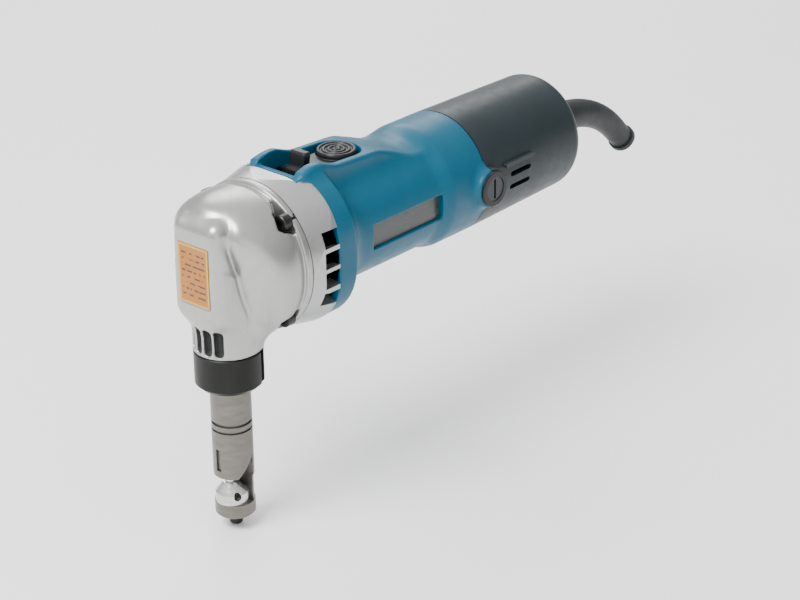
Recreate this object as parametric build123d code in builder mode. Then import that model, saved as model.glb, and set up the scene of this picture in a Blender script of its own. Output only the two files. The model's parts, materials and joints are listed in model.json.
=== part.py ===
from build123d import *
from math import cos, pi, radians, sin, sqrt, tan
import os

# Electric nibbler, millimetres, +Z up. The origin is the cutting point: the centre of the die holder
# tube at the height of the die's top face. The motor lies along +X and the punch works along Z.

# ---------------------------------------------------------------- overall sizes
motor_axis_z = 116.0          # height of the motor axis over the cutting point
front_face_x = -20.5          # flat front of the gear housing
gear_case_rear_x = 22.0       # gear housing meets the exhaust ring
exhaust_ring_length = 18.0
barrel_length = 117.9         # motor housing, from the exhaust ring to the rear cover
rear_cover_length = 83.1
barrel_radius = 30.8
tail_radius = 33.4            # bulge of the motor housing, where the rear cover joins
rear_end_radius = 32.0        # rear cover at its far end
flange_half_width = 38.8      # rounded square flange of the motor housing
flange_corner_radius = 30.5
flange_length = 11.0
gear_case_radius = 38.0
hood_seat = 35.6              # over the motor axis, where the hood lies over the ring
ring_outer_radius = 42.3

# ---------------------------------------------------------------- clearances
running = 0.05                # shaft in bush, radial
swivel_gap = 0.15             # faces that turn past each other
loose = 0.3                   # parts on different bodies that only pass each other
shaft_room = 0.6              # round a shaft that passes through a wall
seat_gap = 0.2                # axial room between stacked pieces
screw_hole_gap = 0.2          # round a housing screw's shank
screw_pocket_gap = 1.6        # round a housing screw's head

# ---------------------------------------------------------------- gear housing
body_wall = 3.0
block_half_width = 20.0
block_top = 34.5              # over the motor axis
block_bottom = -24.0
block_edge = 8.0
lip_length = 4.0
dome_front_x = -14.0
dome_start_x = 6.0
yoke_room = 1.0
bearing_wall = 3.0            # wall that carries the crank bearing
bearing_boss_wall = 2.4
screw_scoop_length = 26.0
vent_angles = (-25.5, -8.5, 8.5, 25.5)            # arched vents round the front of the neck
vent_height = 13.0
vent_width = 4.2
vent_lift = 0.6               # vents start this far over the seal's seat

# ---------------------------------------------------------------- exhaust ring
vent_notch_length = 10.0
vent_notch_width = 8.4
ring_web_place = 5.0          # front of the web behind the gear housing joint
ring_web_thickness = 3.0
bush_wall = 1.6
bearing_seat_wall = 2.0
vent_notch_angles = (20.0, 4.7, -10.6, -26.0)     # rise over the level of the motor axis, on each side

# ---------------------------------------------------------------- cutting end
tube_radius = 10.28
nose_height = 4.3             # underside of the nose over the die
nose_top_z = 18.0             # bottom of the wide bore
foot_bottom_z = -18.7
arm_front_x = 3.9             # flat front of the arm that carries the foot
arm_radius = 9.6
throat_top_z = 15.5
punch_radius = 2.5
punch_offset = 3.0            # punch and die sit this far in front of the tube's centre
die_clearance = 0.08
die_top_radius = 3.5
die_base_radius = 8.6
die_base_height = 11.0
die_rim_height = 5.5          # cylindrical foot of the die
die_stem_radius = 4.2
die_stem_depth = 4.0
die_bolt_radius = 2.5
die_bolt_head_radius = 3.4
die_bolt_head_height = 6.6
gauge_groove_z = (34.1, 30.2)
gauge_groove_width = (1.6, 1.2)
gauge_groove_depth = 1.1
tube_relief = 0.5             # undercut of the tube behind the lock nut's lip
cut_notch_width = 3.0         # cutting line notch in the nose
cut_notch_length = 12.0
cut_notch_z = 8.0
punch_hollow_radius = 4.0       # hollow cutting face of the punch
punch_hollow_depth = 0.6
slug_hole_radius = 1.9
die_seat_x = -1.6
die_hole_depth = 6.4
slug_exit_angle = -108.0
bolt_top_z = -7.6

# ---------------------------------------------------------------- lock nut and neck
nut_bottom_z = 53.9
nut_length = 19.5
nut_wall = 1.85               # outside the thread
nut_lip = 3.6
nut_notch_width = 4.0
nut_notch_depth = 1.6
holder_flange_overhang = 3.1  # past the spigot
holder_flange_thickness = 4.0
holder_spigot_step = 1.62     # past the tube
holder_spigot_length = 14.3
nut_notch_angles = (-62.0, 118.0)

# ---------------------------------------------------------------- ram and punch holder
ram_radius = 6.0
ram_foot_gap = 1.1            # lower end of the ram over the nut's lower face
ram_bush_wall = 3.0
ram_bush_length = 26.0
ram_seal_thickness = 3.0
yoke_half_thickness = 6.0
yoke_half_width = 13.6
yoke_wall = 3.1
yoke_corner = 6.0
crank_throw = 3.0
crank_pin_radius = 4.0
roller_radius = 6.5
roller_half_length = 5.5
punch_at_rest_z = -1.5        # tip of the punch at the bottom of its stroke
punch_length = 45.0
punch_holder_bottom_z = 20.0
holder_stem_radius = 3.5
holder_stem_length = 9.5
stem_groove_radius = 2.4
swivel_pin_radius = 1.0
set_screw_radius = 2.0
set_screw_height = 14.0       # over the bottom of the punch holder
pin_height = 5.0              # swivel pins over the bottom of the ram

# ---------------------------------------------------------------- crank and gears
tooth_module = 0.6
pinion_teeth = 9
gear_teeth = 51
tooth_backlash = 0.3
gear_width = 7.0
gear_side_room = 0.6
gear_tip_room = 2.0           # round the gear, to its chamber
addendum = 0.5
dedendum = 0.75
journal_radius = 5.0          # crank shaft in its front bearing and in the gear
tail_journal_radius = 4.0     # crank shaft in its rear bush
crank_web_radius = 8.6
crank_web_thickness = 2.6
thrust_washer_radius = 8.2
thrust_washer_hole_radius = 5.9
thrust_washer_thickness = 0.8
crank_bearing_radius = 13.0
crank_bearing_width = 8.0
crank_bush_radius = 6.0
crank_bush_length = 6.0

# ---------------------------------------------------------------- motor
shaft_radius = 4.0
front_bearing_radius = 11.0
front_bearing_width = 7.0
rear_bearing_radius = 9.5
rear_bearing_bore = 3.5
rear_bearing_width = 6.0
boot_wall = 1.5
fan_gap = 0.7                 # fan to the screw bosses
fan_length = 9.0
fan_blades = 16
fan_hub_radius = 8.0
fan_disc = 1.5                # thickness of the fan's disc
fan_blade_step = 1.0          # blades start behind the hub's face
fan_blade_thickness = 1.2
fan_blade_angle = 24.0
baffle_thickness = 1.5
baffle_air_gap = 3.0          # round the armature's winding
fan_rear_room = 1.5
flange_wall = 4.5
barrel_wall = 5.1             # of the motor housing round the field
field_depth = 6.2
field_length = 50.0
air_gap = 0.5
core_slots = 12
slot_mouth_width = 1.6
slot_depth = 5.0              # centre of each slot under the core's surface
core_tooth_half_width = 1.1   # between two slots
winding_drop = 2.7            # end windings under the core's surface
winding_length = 8.0
commutator_room = 2.5         # commutator to the brush holders
commutator_length = 17.0
commutator_bars = 24
commutator_cut_width = 0.5
commutator_cut_depth = 0.8
coil_length = 6.0

# ---------------------------------------------------------------- brushes
brush_from_joint = 0.8        # brush line behind the joint of motor housing and rear cover
boss_radius = 10.5
boss_reach = 36.6             # face of each brush boss from the motor axis
brush_holder_radius = 8.0
brush_rim_radius = 9.7
brush_rim_thickness = 1.5
brush_bore_radius = 5.6
brush_cap_radius = 6.6
brush_cap_length = 4.5
brush_half_width = 3.2
brush_half_length = 4.0
brush_height = 12.0
spring_radius = 2.6
spring_wall = 1.0
brush_inset = 7.5             # root of the brush holders inside the sleeve
cap_slot_width = 1.6
cap_slot_depth = 1.4

# ---------------------------------------------------------------- switch
deck_half_width = 17.0
deck_top = 36.5               # over the motor axis, beside the switch
hood_top = 42.3               # over the motor axis, in front of the switch
pocket_half_width = 12.3
pocket_floor = 31.6
pad_centre_x = 80.0
pad_radius = 10.3
pad_top = 37.2
knob_x = 53.0
knob_top = 44.6
slider_travel = 6.5
slider_half_width = 9.0
rod_half_width = 3.0
rod_bottom = 26.4
rod_top = 28.2
lug_length = 4.0
lug_half_width = 2.2
pad_ring_radii = (8.9, 6.7, 4.5, 2.3)
switch_length = 32.0
switch_half_width = 8.0
switch_height = 16.0
tab_length = 3.0
tab_depth = 4.0

# ---------------------------------------------------------------- rear cover and cord guard
cover_wall = 2.6
cover_end_wall = 3.0
cover_edge_radius = 7.0
sleeve_step = 1.2             # sleeve inside the motor housing's bore
sleeve_wall = 3.0
guard_radius = 9.2
guard_tip_radius = 6.6
guard_rim_radius = 7.8
guard_bore_radius = 4.1
guard_straight = 19.0
guard_bend_radius = 72.0
guard_drop_angle = 45.0
guard_tip_length = 14.0
cover_slot_length = 17.0
cover_slot_width = 2.8
cover_slot_rises = (0.8, -6.6)      # centre lines of the vents, over the motor axis
cover_ridge_rise = 7.2
cover_screw_radius = 2.0
cover_screw_reach = 20.0
guard_flange_length = 3.0
guard_flange_step = 2.8
guard_rim_length = 3.4
guard_rim_round = 0.9
clamp_half_width = 11.0
clamp_height = 13.0
clamp_length = 7.0
clamp_gap = 11.0              # clamp to the guard's flange
clamp_screw_radius = 1.5
clamp_screw_head_radius = 2.7
clamp_screw_reach = 8.0
clamp_screw_length = 12.5
clamp_screw_head_length = 2.0

# ---------------------------------------------------------------- trim and fasteners
label_half_width = 10.1
label_bottom_z = 103.0
label_height = 31.0
label_thickness = 0.8
side_plate_start_x = 73.85
side_plate_length = 51.75
side_plate_height = 12.95
side_plate_below_axis = 7.65
side_plate_depth = 2.9        # recess floor under the barrel's surface
side_plate_thickness = 0.9
housing_screw_pitch = 50.0    # square pattern of the gear housing screws
housing_screw_radius = 2.5
housing_screw_head_radius = 4.3
housing_screw_head_length = 5.0
screw_engagement = 8.0
screw_boss_wall = 3.2
screw_socket_radius = 2.3
screw_socket_depth = 2.6

# ---------------------------------------------------------------- stations worked out from the above
tube_bore_radius = ram_radius + 1.2
punch_holder_radius = tube_bore_radius - 0.2
foot_radius = tube_radius
holder_spigot_radius = tube_radius + holder_spigot_step
holder_flange_radius = holder_spigot_radius + holder_flange_overhang
nut_thread_radius = holder_flange_radius + 0.4
nut_radius = nut_thread_radius + nut_wall
neck_radius = nut_radius
bore_wall_radius = barrel_radius - barrel_wall
sleeve_radius = bore_wall_radius - sleeve_step
side_plate_reach = barrel_radius - side_plate_depth
field_radius = bore_wall_radius - loose
core_radius = field_radius - field_depth
winding_radius = core_radius - winding_drop
slot_radius = pi * (core_radius - slot_depth) / core_slots - core_tooth_half_width
fan_chamber_radius = flange_half_width - flange_wall
screw_boss_radius = housing_screw_radius + screw_boss_wall
fan_radius = housing_screw_pitch / sqrt(2) - screw_boss_radius - fan_gap
screw_pocket_radius = housing_screw_head_radius + screw_pocket_gap
screw_hole_radius = housing_screw_radius + screw_hole_gap
ring_rear_x = gear_case_rear_x + exhaust_ring_length
cover_joint_x = ring_rear_x + barrel_length
rear_face_x = cover_joint_x + rear_cover_length
brush_x = cover_joint_x + brush_from_joint
crank_axis_z = motor_axis_z + tooth_module * (pinion_teeth + gear_teeth) / 2
pin_axis_z = crank_axis_z - crank_throw
neck_bottom_z = nut_bottom_z + nut_length + seat_gap
holder_flange_bottom_z = nut_bottom_z + nut_lip + seat_gap
holder_flange_top_z = holder_flange_bottom_z + holder_flange_thickness
holder_top_z = holder_flange_top_z + holder_spigot_length
stub_bottom_z = holder_flange_top_z + seat_gap
ram_bottom_z = nut_bottom_z + ram_foot_gap
seal_bottom_z = holder_top_z + 0.5
bush_bottom_z = seal_bottom_z + ram_seal_thickness + 0.5
bush_radius = ram_radius + ram_bush_wall
slot_half_height = roller_radius + running
slot_half_width = crank_throw + roller_radius + loose
yoke_half_height = slot_half_height + yoke_wall
washer_front_x = yoke_half_thickness + seat_gap
web_front_x = washer_front_x + thrust_washer_thickness + seat_gap
web_rear_x = web_front_x + crank_web_thickness
crank_bearing_x = web_rear_x + seat_gap
bearing_wall_rear_x = crank_bearing_x + bearing_wall
boss_rear_x = crank_bearing_x + crank_bearing_width
gear_front_x = boss_rear_x + gear_side_room
gear_rear_x = gear_front_x + gear_width
yoke_room_top = crank_axis_z + crank_throw + yoke_half_height + yoke_room
yoke_room_bottom = bush_bottom_z + ram_bush_length
ring_web_front_x = gear_case_rear_x + ring_web_place
ring_web_rear_x = ring_web_front_x + ring_web_thickness
front_bearing_x = ring_rear_x - front_bearing_width
fan_front_x = ring_rear_x + 3.5
fan_rear_x = fan_front_x + fan_length
winding_front_x = fan_rear_x + 7.0
core_front_x = winding_front_x + winding_length
core_rear_x = core_front_x + field_length
commutator_x = brush_x - commutator_length / 2
rear_bearing_x = commutator_x + commutator_length + 6.0
sleeve_end_x = rear_bearing_x + rear_bearing_width + 2.5
ring_inner_radius = gear_case_radius - body_wall
vent_notch_start = ring_inner_radius - 6
crank_bush_x = ring_web_front_x + 0.4
hood_front_x = ring_rear_x - 6.3
screw_head_front_x = gear_case_rear_x - lip_length - housing_screw_head_length
flange_rear_x = ring_rear_x + flange_length
flare_end_x = flange_rear_x + 16
bulge_start_x = cover_joint_x - 36
bulge_end_x = cover_joint_x - 24
pocket_front_x = hood_front_x + 6
deck_rear_x = pad_centre_x + pocket_half_width + 4
baffle_x = fan_rear_x + fan_rear_room
lug_front_x = pad_centre_x + 3
cover_slot_start_x = cover_joint_x + 19.5
cover_inner_edge = rear_end_radius - cover_edge_radius + cover_wall - cover_end_wall
guard_flange_radius = guard_radius + guard_flange_step
guard_root_x = rear_face_x - cover_end_wall - guard_flange_length
clamp_x = guard_root_x - clamp_gap - guard_flange_length
clamp_screw_x = clamp_x + clamp_length / 2
brush_holder_root = sleeve_radius - sleeve_wall - brush_inset
commutator_radius = brush_holder_root - commutator_room
brush_tip_reach = commutator_radius + running
cap_seat_reach = boss_reach + brush_rim_thickness - brush_cap_length
shaft_front_x = gear_front_x
pinion_rear_x = gear_rear_x + 0.4
coil_inner_radius = core_radius + air_gap
slider_bottom = pocket_floor + 0.3
slider_plate_top = slider_bottom + 2.5
switch_front_x = sleeve_end_x + 5
switch_top = rod_bottom - 0.6
tab_front_x = switch_front_x + 9.5
holder_stem_bottom_z = ram_bottom_z - 0.5
pin_z = ram_bottom_z + pin_height
pin_side = stem_groove_radius + swivel_pin_radius + running
stem_groove_z = pin_z - swivel_pin_radius - running
set_screw_z = punch_holder_bottom_z + set_screw_height
foot_top_z = -die_base_height
holder_nose_hole = punch_radius + die_clearance


# ---------------------------------------------------------------- shared geometry
def across(x, z=motor_axis_z):
    """Plane square to the motor axis at station x: local x is +Y, local y is +Z."""
    return Plane(origin=(x, 0, z), x_dir=(0, 1, 0), z_dir=(1, 0, 0))


def level(z, x=0.0):
    """Plane square to the punch axis at height z, with its origin at x."""
    return Plane(origin=(x, 0, z), x_dir=(1, 0, 0), z_dir=(0, 0, 1))


lengthwise = Plane(origin=(0, 0, motor_axis_z), x_dir=(1, 0, 0), z_dir=(0, -1, 0))
motor_axis = Axis((0, 0, motor_axis_z), (1, 0, 0))


def round_bar(plane, length, radius, hole=0.0):
    """Bar or tube that starts on a plane and runs along its normal."""
    with BuildPart() as bar:
        with BuildSketch(plane):
            Circle(radius)
            if hole > 0:
                Circle(hole, mode=Mode.SUBTRACT)
        extrude(amount=length)
    return bar


def ball_bearing(plane, width, radius, hole):
    """Shielded ball bearing with a shallow groove in each face."""
    groove_depth = 0.4
    groove_inner = hole + 0.35 * (radius - hole)
    groove_outer = hole + 0.7 * (radius - hole)
    with BuildPart() as bearing:
        with BuildSketch(plane):
            Circle(radius)
            Circle(hole, mode=Mode.SUBTRACT)
        extrude(amount=width)
        with BuildSketch(plane, plane.offset(width - groove_depth)):
            Circle(groove_outer)
            Circle(groove_inner, mode=Mode.SUBTRACT)
        extrude(amount=groove_depth, mode=Mode.SUBTRACT)
    return bearing


def gear_outline(teeth):
    """Corner points of a spur gear with straight tapered teeth, first tooth along local +X."""
    pitch_radius = tooth_module * teeth / 2
    half_tooth = (pi * tooth_module - tooth_backlash) / 4
    slope = tan(radians(20))
    points = []
    for tooth in range(teeth):
        middle = 2 * pi * tooth / teeth
        for side, radius in ((-1, -dedendum), (-1, addendum), (1, addendum), (1, -dedendum)):
            half = half_tooth - radius * slope
            angle = middle + side * half / (pitch_radius + radius)
            reach = pitch_radius + radius
            points.append((reach * cos(angle), reach * sin(angle)))
    return points


def housing_screw_places():
    """Four corners of the square screw pattern."""
    return GridLocations(housing_screw_pitch, housing_screw_pitch, 2, 2)


def side_plate_plane(side):
    """Floor of a side plate's recess, facing outward, centred on the plate."""
    middle_x = side_plate_start_x + side_plate_length / 2
    middle_z = motor_axis_z - side_plate_below_axis + side_plate_height / 2
    floor_y = side * (side_plate_reach - side_plate_thickness)
    return Plane(origin=(middle_x, floor_y, middle_z), x_dir=(1, 0, 0), z_dir=(0, side, 0))


# ================================================================ gear housing

with BuildPart() as gear_housing:
    # Front block that holds the ram: a rounded side outline as wide as the yoke chamber.
    with BuildSketch(lengthwise.offset(-block_half_width)):
        with BuildLine():
            nose = Line((front_face_x, block_bottom + 11), (front_face_x, 11))
            crown = TangentArc(nose @ 1, (1, block_top), tangent=(0, 1))
            roof = Line(crown @ 1, (dome_start_x + 4, block_top + 1.5))
            back = Line(roof @ 1, (dome_start_x + 4, block_bottom))
            sole = Line(back @ 1, (front_face_x + 11, block_bottom))
            TangentArc(nose @ 0, sole @ 1, tangent=(0, -1))
        make_face()
    extrude(amount=2 * block_half_width)
    fillet(gear_housing.faces().filter_by(Axis.Y).edges().filter_by_position(
        Axis.X, front_face_x - 1, dome_start_x + 3.5), radius=block_edge)
    # Round body with a domed front and a slight waist before its rear lip.
    with BuildSketch(lengthwise):
        with BuildLine():
            rear = Line((gear_case_rear_x, 0), (gear_case_rear_x, gear_case_radius + 0.4))
            lip = Line(rear @ 1, (gear_case_rear_x - lip_length, gear_case_radius + 0.4))
            step = Line(lip @ 1, (gear_case_rear_x - lip_length, gear_case_radius - 1.4))
            waist = Line(step @ 1, (dome_start_x, gear_case_radius))
            dome = Bezier(waist @ 1, (dome_front_x + 6, gear_case_radius + 0.8),
                          (dome_front_x, gear_case_radius - 12), (dome_front_x, 12))
            front = Line(dome @ 1, (dome_front_x, 0))
            Line(front @ 1, rear @ 0)
        make_face()
    revolve(axis=motor_axis)
    # Neck over the lock nut and the threaded stub inside the nut.
    with BuildSketch(level(neck_bottom_z)):
        Circle(neck_radius)
    extrude(amount=motor_axis_z + block_bottom + 6 - neck_bottom_z)
    with BuildSketch(level(stub_bottom_z)):
        Circle(nut_thread_radius)
    extrude(amount=neck_bottom_z - stub_bottom_z)
    # Scooped pockets for the four housing screws.
    with BuildSketch(across(gear_case_rear_x - lip_length)):
        with housing_screw_places():
            Circle(screw_pocket_radius)
    extrude(amount=-screw_scoop_length, mode=Mode.SUBTRACT)
    with BuildSketch(across(gear_case_rear_x)):
        with housing_screw_places():
            Circle(screw_hole_radius)
    extrude(amount=-lip_length, mode=Mode.SUBTRACT)
    # Label recess in the flat front.
    with BuildSketch(across(front_face_x, label_bottom_z + label_height / 2)):
        Rectangle(2 * label_half_width, label_height)
    extrude(amount=label_thickness, mode=Mode.SUBTRACT)
    # Bores on the punch axis: die holder, seal and bush.
    with BuildSketch(level(stub_bottom_z)):
        Circle(holder_spigot_radius + running)
    extrude(amount=seal_bottom_z - stub_bottom_z, mode=Mode.SUBTRACT)
    with BuildSketch(level(seal_bottom_z)):
        Circle(bush_radius)
    extrude(amount=motor_axis_z - seal_bottom_z, mode=Mode.SUBTRACT)
    # Chamber in which the yoke works.
    with BuildSketch(Plane.XZ.offset(-yoke_half_width - yoke_room)):
        with BuildLine():
            Polyline((-yoke_half_thickness - 5, yoke_room_bottom), (-yoke_half_thickness - 5, crank_axis_z),
                     (-yoke_half_thickness - 1, yoke_room_top), (crank_bearing_x, yoke_room_top),
                     (crank_bearing_x, yoke_room_bottom), close=True)
        make_face()
    extrude(amount=2 * (yoke_half_width + yoke_room), mode=Mode.SUBTRACT)
    # Gear chamber behind the bearing wall, around the bearing's boss.
    with BuildSketch(across(bearing_wall_rear_x)):
        Circle(gear_case_radius - body_wall)
        with Locations((0, crank_axis_z - motor_axis_z)):
            Circle(crank_bearing_radius + bearing_boss_wall, mode=Mode.SUBTRACT)
        with housing_screw_places():
            Circle(screw_pocket_radius + body_wall, mode=Mode.SUBTRACT)
    extrude(amount=gear_case_rear_x - bearing_wall_rear_x, mode=Mode.SUBTRACT)
    with BuildSketch(across(boss_rear_x, crank_axis_z)):
        Circle(tooth_module * gear_teeth / 2 + gear_tip_room)
    extrude(amount=gear_case_rear_x - boss_rear_x, mode=Mode.SUBTRACT)
    with BuildSketch(across(crank_bearing_x, crank_axis_z)):
        Circle(crank_bearing_radius)
    extrude(amount=crank_bearing_width, mode=Mode.SUBTRACT)
    # Four arched vents in the front of the neck, open to a hollow around the bush.
    for vent_angle in vent_angles:
        outward = Vector(-cos(radians(vent_angle)), sin(radians(vent_angle)), 0)
        vent_plane = Plane(origin=outward * holder_spigot_radius + Vector(0, 0, seal_bottom_z + vent_lift),
                           x_dir=Vector(0, 0, 1).cross(outward), z_dir=outward)
        with BuildSketch(vent_plane):
            with Locations((0, (vent_height - vent_width / 2) / 2)):
                Rectangle(vent_width, vent_height - vent_width / 2)
            with Locations((0, vent_height - vent_width / 2)):
                Circle(vent_width / 2)
        extrude(amount=neck_radius, mode=Mode.SUBTRACT)

with BuildPart() as label_plate:
    with BuildSketch(across(front_face_x, label_bottom_z + label_height / 2)):
        Rectangle(2 * label_half_width - seat_gap, label_height - seat_gap)
    extrude(amount=label_thickness)

# ================================================================ exhaust ring

with BuildPart() as exhaust_ring:
    with BuildSketch(lengthwise):
        Polygon((gear_case_rear_x, 0), (gear_case_rear_x, gear_case_radius + 0.4),
                (ring_rear_x, ring_outer_radius), (ring_rear_x, 0), align=None)
    revolve(axis=motor_axis)
    with BuildSketch(across(gear_case_rear_x)):
        RectangleRounded(2 * flange_half_width, 2 * flange_half_width, flange_corner_radius)
    extrude(amount=exhaust_ring_length, mode=Mode.INTERSECT)
    # Room for the hood of the motor housing.
    with BuildSketch(across(hood_front_x)):
        with Locations((0, hood_seat + 6)):
            Rectangle(2 * deck_half_width + 0.1, 12)
    extrude(amount=ring_rear_x - hood_front_x, mode=Mode.SUBTRACT)
    # Gear side, then fan side; the web between them carries both bearings.
    with BuildSketch(across(gear_case_rear_x)):
        Circle(ring_inner_radius)
        with housing_screw_places():
            Circle(screw_boss_radius, mode=Mode.SUBTRACT)
    extrude(amount=ring_web_front_x - gear_case_rear_x, mode=Mode.SUBTRACT)
    with BuildSketch(across(ring_web_rear_x)):
        Circle(ring_inner_radius - 1.5)
        with housing_screw_places():
            Circle(screw_boss_radius, mode=Mode.SUBTRACT)
        Circle(front_bearing_radius + bearing_seat_wall, mode=Mode.SUBTRACT)
        with Locations((0, crank_axis_z - motor_axis_z)):
            Circle(crank_bush_radius + bush_wall, mode=Mode.SUBTRACT)
    extrude(amount=ring_rear_x - ring_web_rear_x, mode=Mode.SUBTRACT)
    with BuildSketch(across(ring_web_front_x)):
        Circle(shaft_radius + shaft_room)
        with housing_screw_places():
            Circle(screw_hole_radius)
    extrude(amount=exhaust_ring_length, mode=Mode.SUBTRACT)
    with BuildSketch(across(gear_case_rear_x)):
        with housing_screw_places():
            Circle(screw_hole_radius)
    extrude(amount=exhaust_ring_length, mode=Mode.SUBTRACT)
    with BuildSketch(across(front_bearing_x)):
        Circle(front_bearing_radius)
    extrude(amount=front_bearing_width, mode=Mode.SUBTRACT)
    with BuildSketch(across(crank_bush_x, crank_axis_z)):
        Circle(crank_bush_radius)
    extrude(amount=crank_bush_length, mode=Mode.SUBTRACT)
    with BuildSketch(across(ring_web_front_x, crank_axis_z)):
        Circle(tail_journal_radius + shaft_room)
    extrude(amount=crank_bush_x - ring_web_front_x, mode=Mode.SUBTRACT)
    # Air outlets, open towards the motor housing.
    for side in (-1, 1):
        for rise in vent_notch_angles:
            outward = Vector(0, side * cos(radians(rise)), sin(radians(rise)))
            notch_middle = Vector(ring_rear_x - vent_notch_length / 2, 0, motor_axis_z)
            with BuildSketch(Plane(origin=notch_middle + outward * vent_notch_start,
                                   x_dir=(1, 0, 0), z_dir=outward)):
                Rectangle(vent_notch_length, vent_notch_width)
            extrude(amount=18, mode=Mode.SUBTRACT)

# ================================================================ housing screws

with BuildPart() as housing_screws:
    with BuildSketch(across(screw_head_front_x)):
        with housing_screw_places():
            Circle(housing_screw_head_radius)
    extrude(amount=housing_screw_head_length)
    chamfer(housing_screws.faces().group_by(Axis.X)[0].edges(), length=0.5)
    with BuildSketch(across(screw_head_front_x)):
        with housing_screw_places():
            RegularPolygon(screw_socket_radius, 6)
    extrude(amount=screw_socket_depth, mode=Mode.SUBTRACT)
    with BuildSketch(across(gear_case_rear_x - lip_length)):
        with housing_screw_places():
            Circle(housing_screw_radius)
    extrude(amount=lip_length + exhaust_ring_length + screw_engagement)

# ================================================================ motor housing

with BuildPart() as motor_housing:
    # Flange, flare, round barrel and the bulge before the rear cover.
    with BuildSketch(lengthwise):
        with BuildLine():
            face = Line((ring_rear_x, 0), (ring_rear_x, ring_outer_radius))
            flange = Line(face @ 1, (flange_rear_x, ring_outer_radius))
            flare = Bezier(flange @ 1, (flange_rear_x + 1.5, barrel_radius + 1),
                           (flange_rear_x + 7, barrel_radius), (flare_end_x, barrel_radius))
            barrel = Line(flare @ 1, (bulge_start_x, barrel_radius))
            bulge = Bezier(barrel @ 1, (bulge_start_x + 6, barrel_radius),
                           (bulge_end_x - 6, tail_radius), (bulge_end_x, tail_radius))
            tail = Line(bulge @ 1, (cover_joint_x, tail_radius))
            Polyline(tail @ 1, (cover_joint_x, 0), face @ 0)
        make_face()
    revolve(axis=motor_axis)
    with BuildSketch(across(ring_rear_x)):
        RectangleRounded(2 * flange_half_width, 2 * flange_half_width, flange_corner_radius)
    extrude(amount=barrel_length, mode=Mode.INTERSECT)
    # Raised deck with the hood in front of the switch.
    with BuildSketch(lengthwise.offset(-deck_half_width)):
        with BuildLine():
            hood = Line((hood_front_x, hood_seat + 0.1), (hood_front_x, hood_seat + 1.6))
            brow = Spline(hood @ 1, (hood_front_x + 5, hood_top - 1.6), (hood_front_x + 12, hood_top),
                          (hood_front_x + 19, hood_top - 1), (hood_front_x + 29, deck_top + 1),
                          tangents=((0.4, 1), (1, -0.1)))
            back = Line(brow @ 1, (deck_rear_x - 4, deck_top - 0.8))
            slope = Spline(back @ 1, (deck_rear_x + 14, barrel_radius - 4), tangents=(back % 1, (1, -0.4)))
            Polyline(slope @ 1, (deck_rear_x + 14, 15), (ring_rear_x, 15), (ring_rear_x, hood_seat + 0.1),
                     hood @ 0)
        make_face()
    extrude(amount=2 * deck_half_width)
    # Pocket in which the switch slider works.
    with BuildSketch(level(motor_axis_z + pocket_floor)):
        with BuildLine():
            Polyline((pad_centre_x, pocket_half_width), (pocket_front_x, pocket_half_width),
                     (pocket_front_x, -pocket_half_width), (pad_centre_x, -pocket_half_width))
            ThreePointArc((pad_centre_x, pocket_half_width), (pad_centre_x + pocket_half_width, 0),
                          (pad_centre_x, -pocket_half_width))
        make_face()
    extrude(amount=20, mode=Mode.SUBTRACT)
    # Ribbed cross piece in front of the pocket.
    with BuildSketch(lengthwise.offset(-pocket_half_width)):
        for rib in range(3):
            with Locations((hood_front_x + 1.2 + 1.9 * rib, hood_top - 0.4)):
                Rectangle(0.9, 2.4)
    extrude(amount=2 * pocket_half_width, mode=Mode.SUBTRACT)
    # Outer part of the brush bosses, cut off at the joint with the rear cover.
    with BuildSketch(Plane.XZ.offset(-boss_reach)):
        with Locations((brush_x, motor_axis_z)):
            Circle(boss_radius)
    extrude(amount=2 * boss_reach)
    with BuildSketch(across(cover_joint_x)):
        Circle(3 * tail_radius)
    extrude(amount=3 * boss_radius, mode=Mode.SUBTRACT)
    # Fan chamber and the bore around the field.
    with BuildSketch(across(ring_rear_x)):
        Circle(fan_chamber_radius)
        with housing_screw_places():
            Circle(screw_boss_radius, mode=Mode.SUBTRACT)
    extrude(amount=baffle_x - ring_rear_x, mode=Mode.SUBTRACT)
    with BuildSketch(across(fan_rear_x)):
        Circle(bore_wall_radius)
    extrude(amount=cover_joint_x - fan_rear_x, mode=Mode.SUBTRACT)
    with BuildSketch(across(ring_rear_x)):
        with housing_screw_places():
            Circle(housing_screw_radius)
    extrude(amount=screw_engagement, mode=Mode.SUBTRACT)
    # Inner sleeve that carries the brush holders and the rear bearing.
    with BuildSketch(lengthwise):
        Polygon((cover_joint_x - 6, sleeve_radius - sleeve_wall), (cover_joint_x - 6, bore_wall_radius),
                (cover_joint_x - 1, bore_wall_radius), (cover_joint_x - 1, sleeve_radius),
                (sleeve_end_x, sleeve_radius), (sleeve_end_x, rear_bearing_radius - 1),
                (rear_bearing_x + rear_bearing_width + 0.5, rear_bearing_radius - 1),
                (rear_bearing_x + rear_bearing_width + 0.5, rear_bearing_radius + boot_wall),
                (rear_bearing_x - 0.5, rear_bearing_radius + boot_wall),
                (rear_bearing_x - 0.5, sleeve_radius - sleeve_wall), align=None)
    revolve(axis=motor_axis)
    with BuildSketch(Plane.XZ.offset(-boss_reach - 1)):
        with Locations((brush_x, motor_axis_z)):
            Circle(brush_holder_radius)
    extrude(amount=2 * boss_reach + 2, mode=Mode.SUBTRACT)
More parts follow.
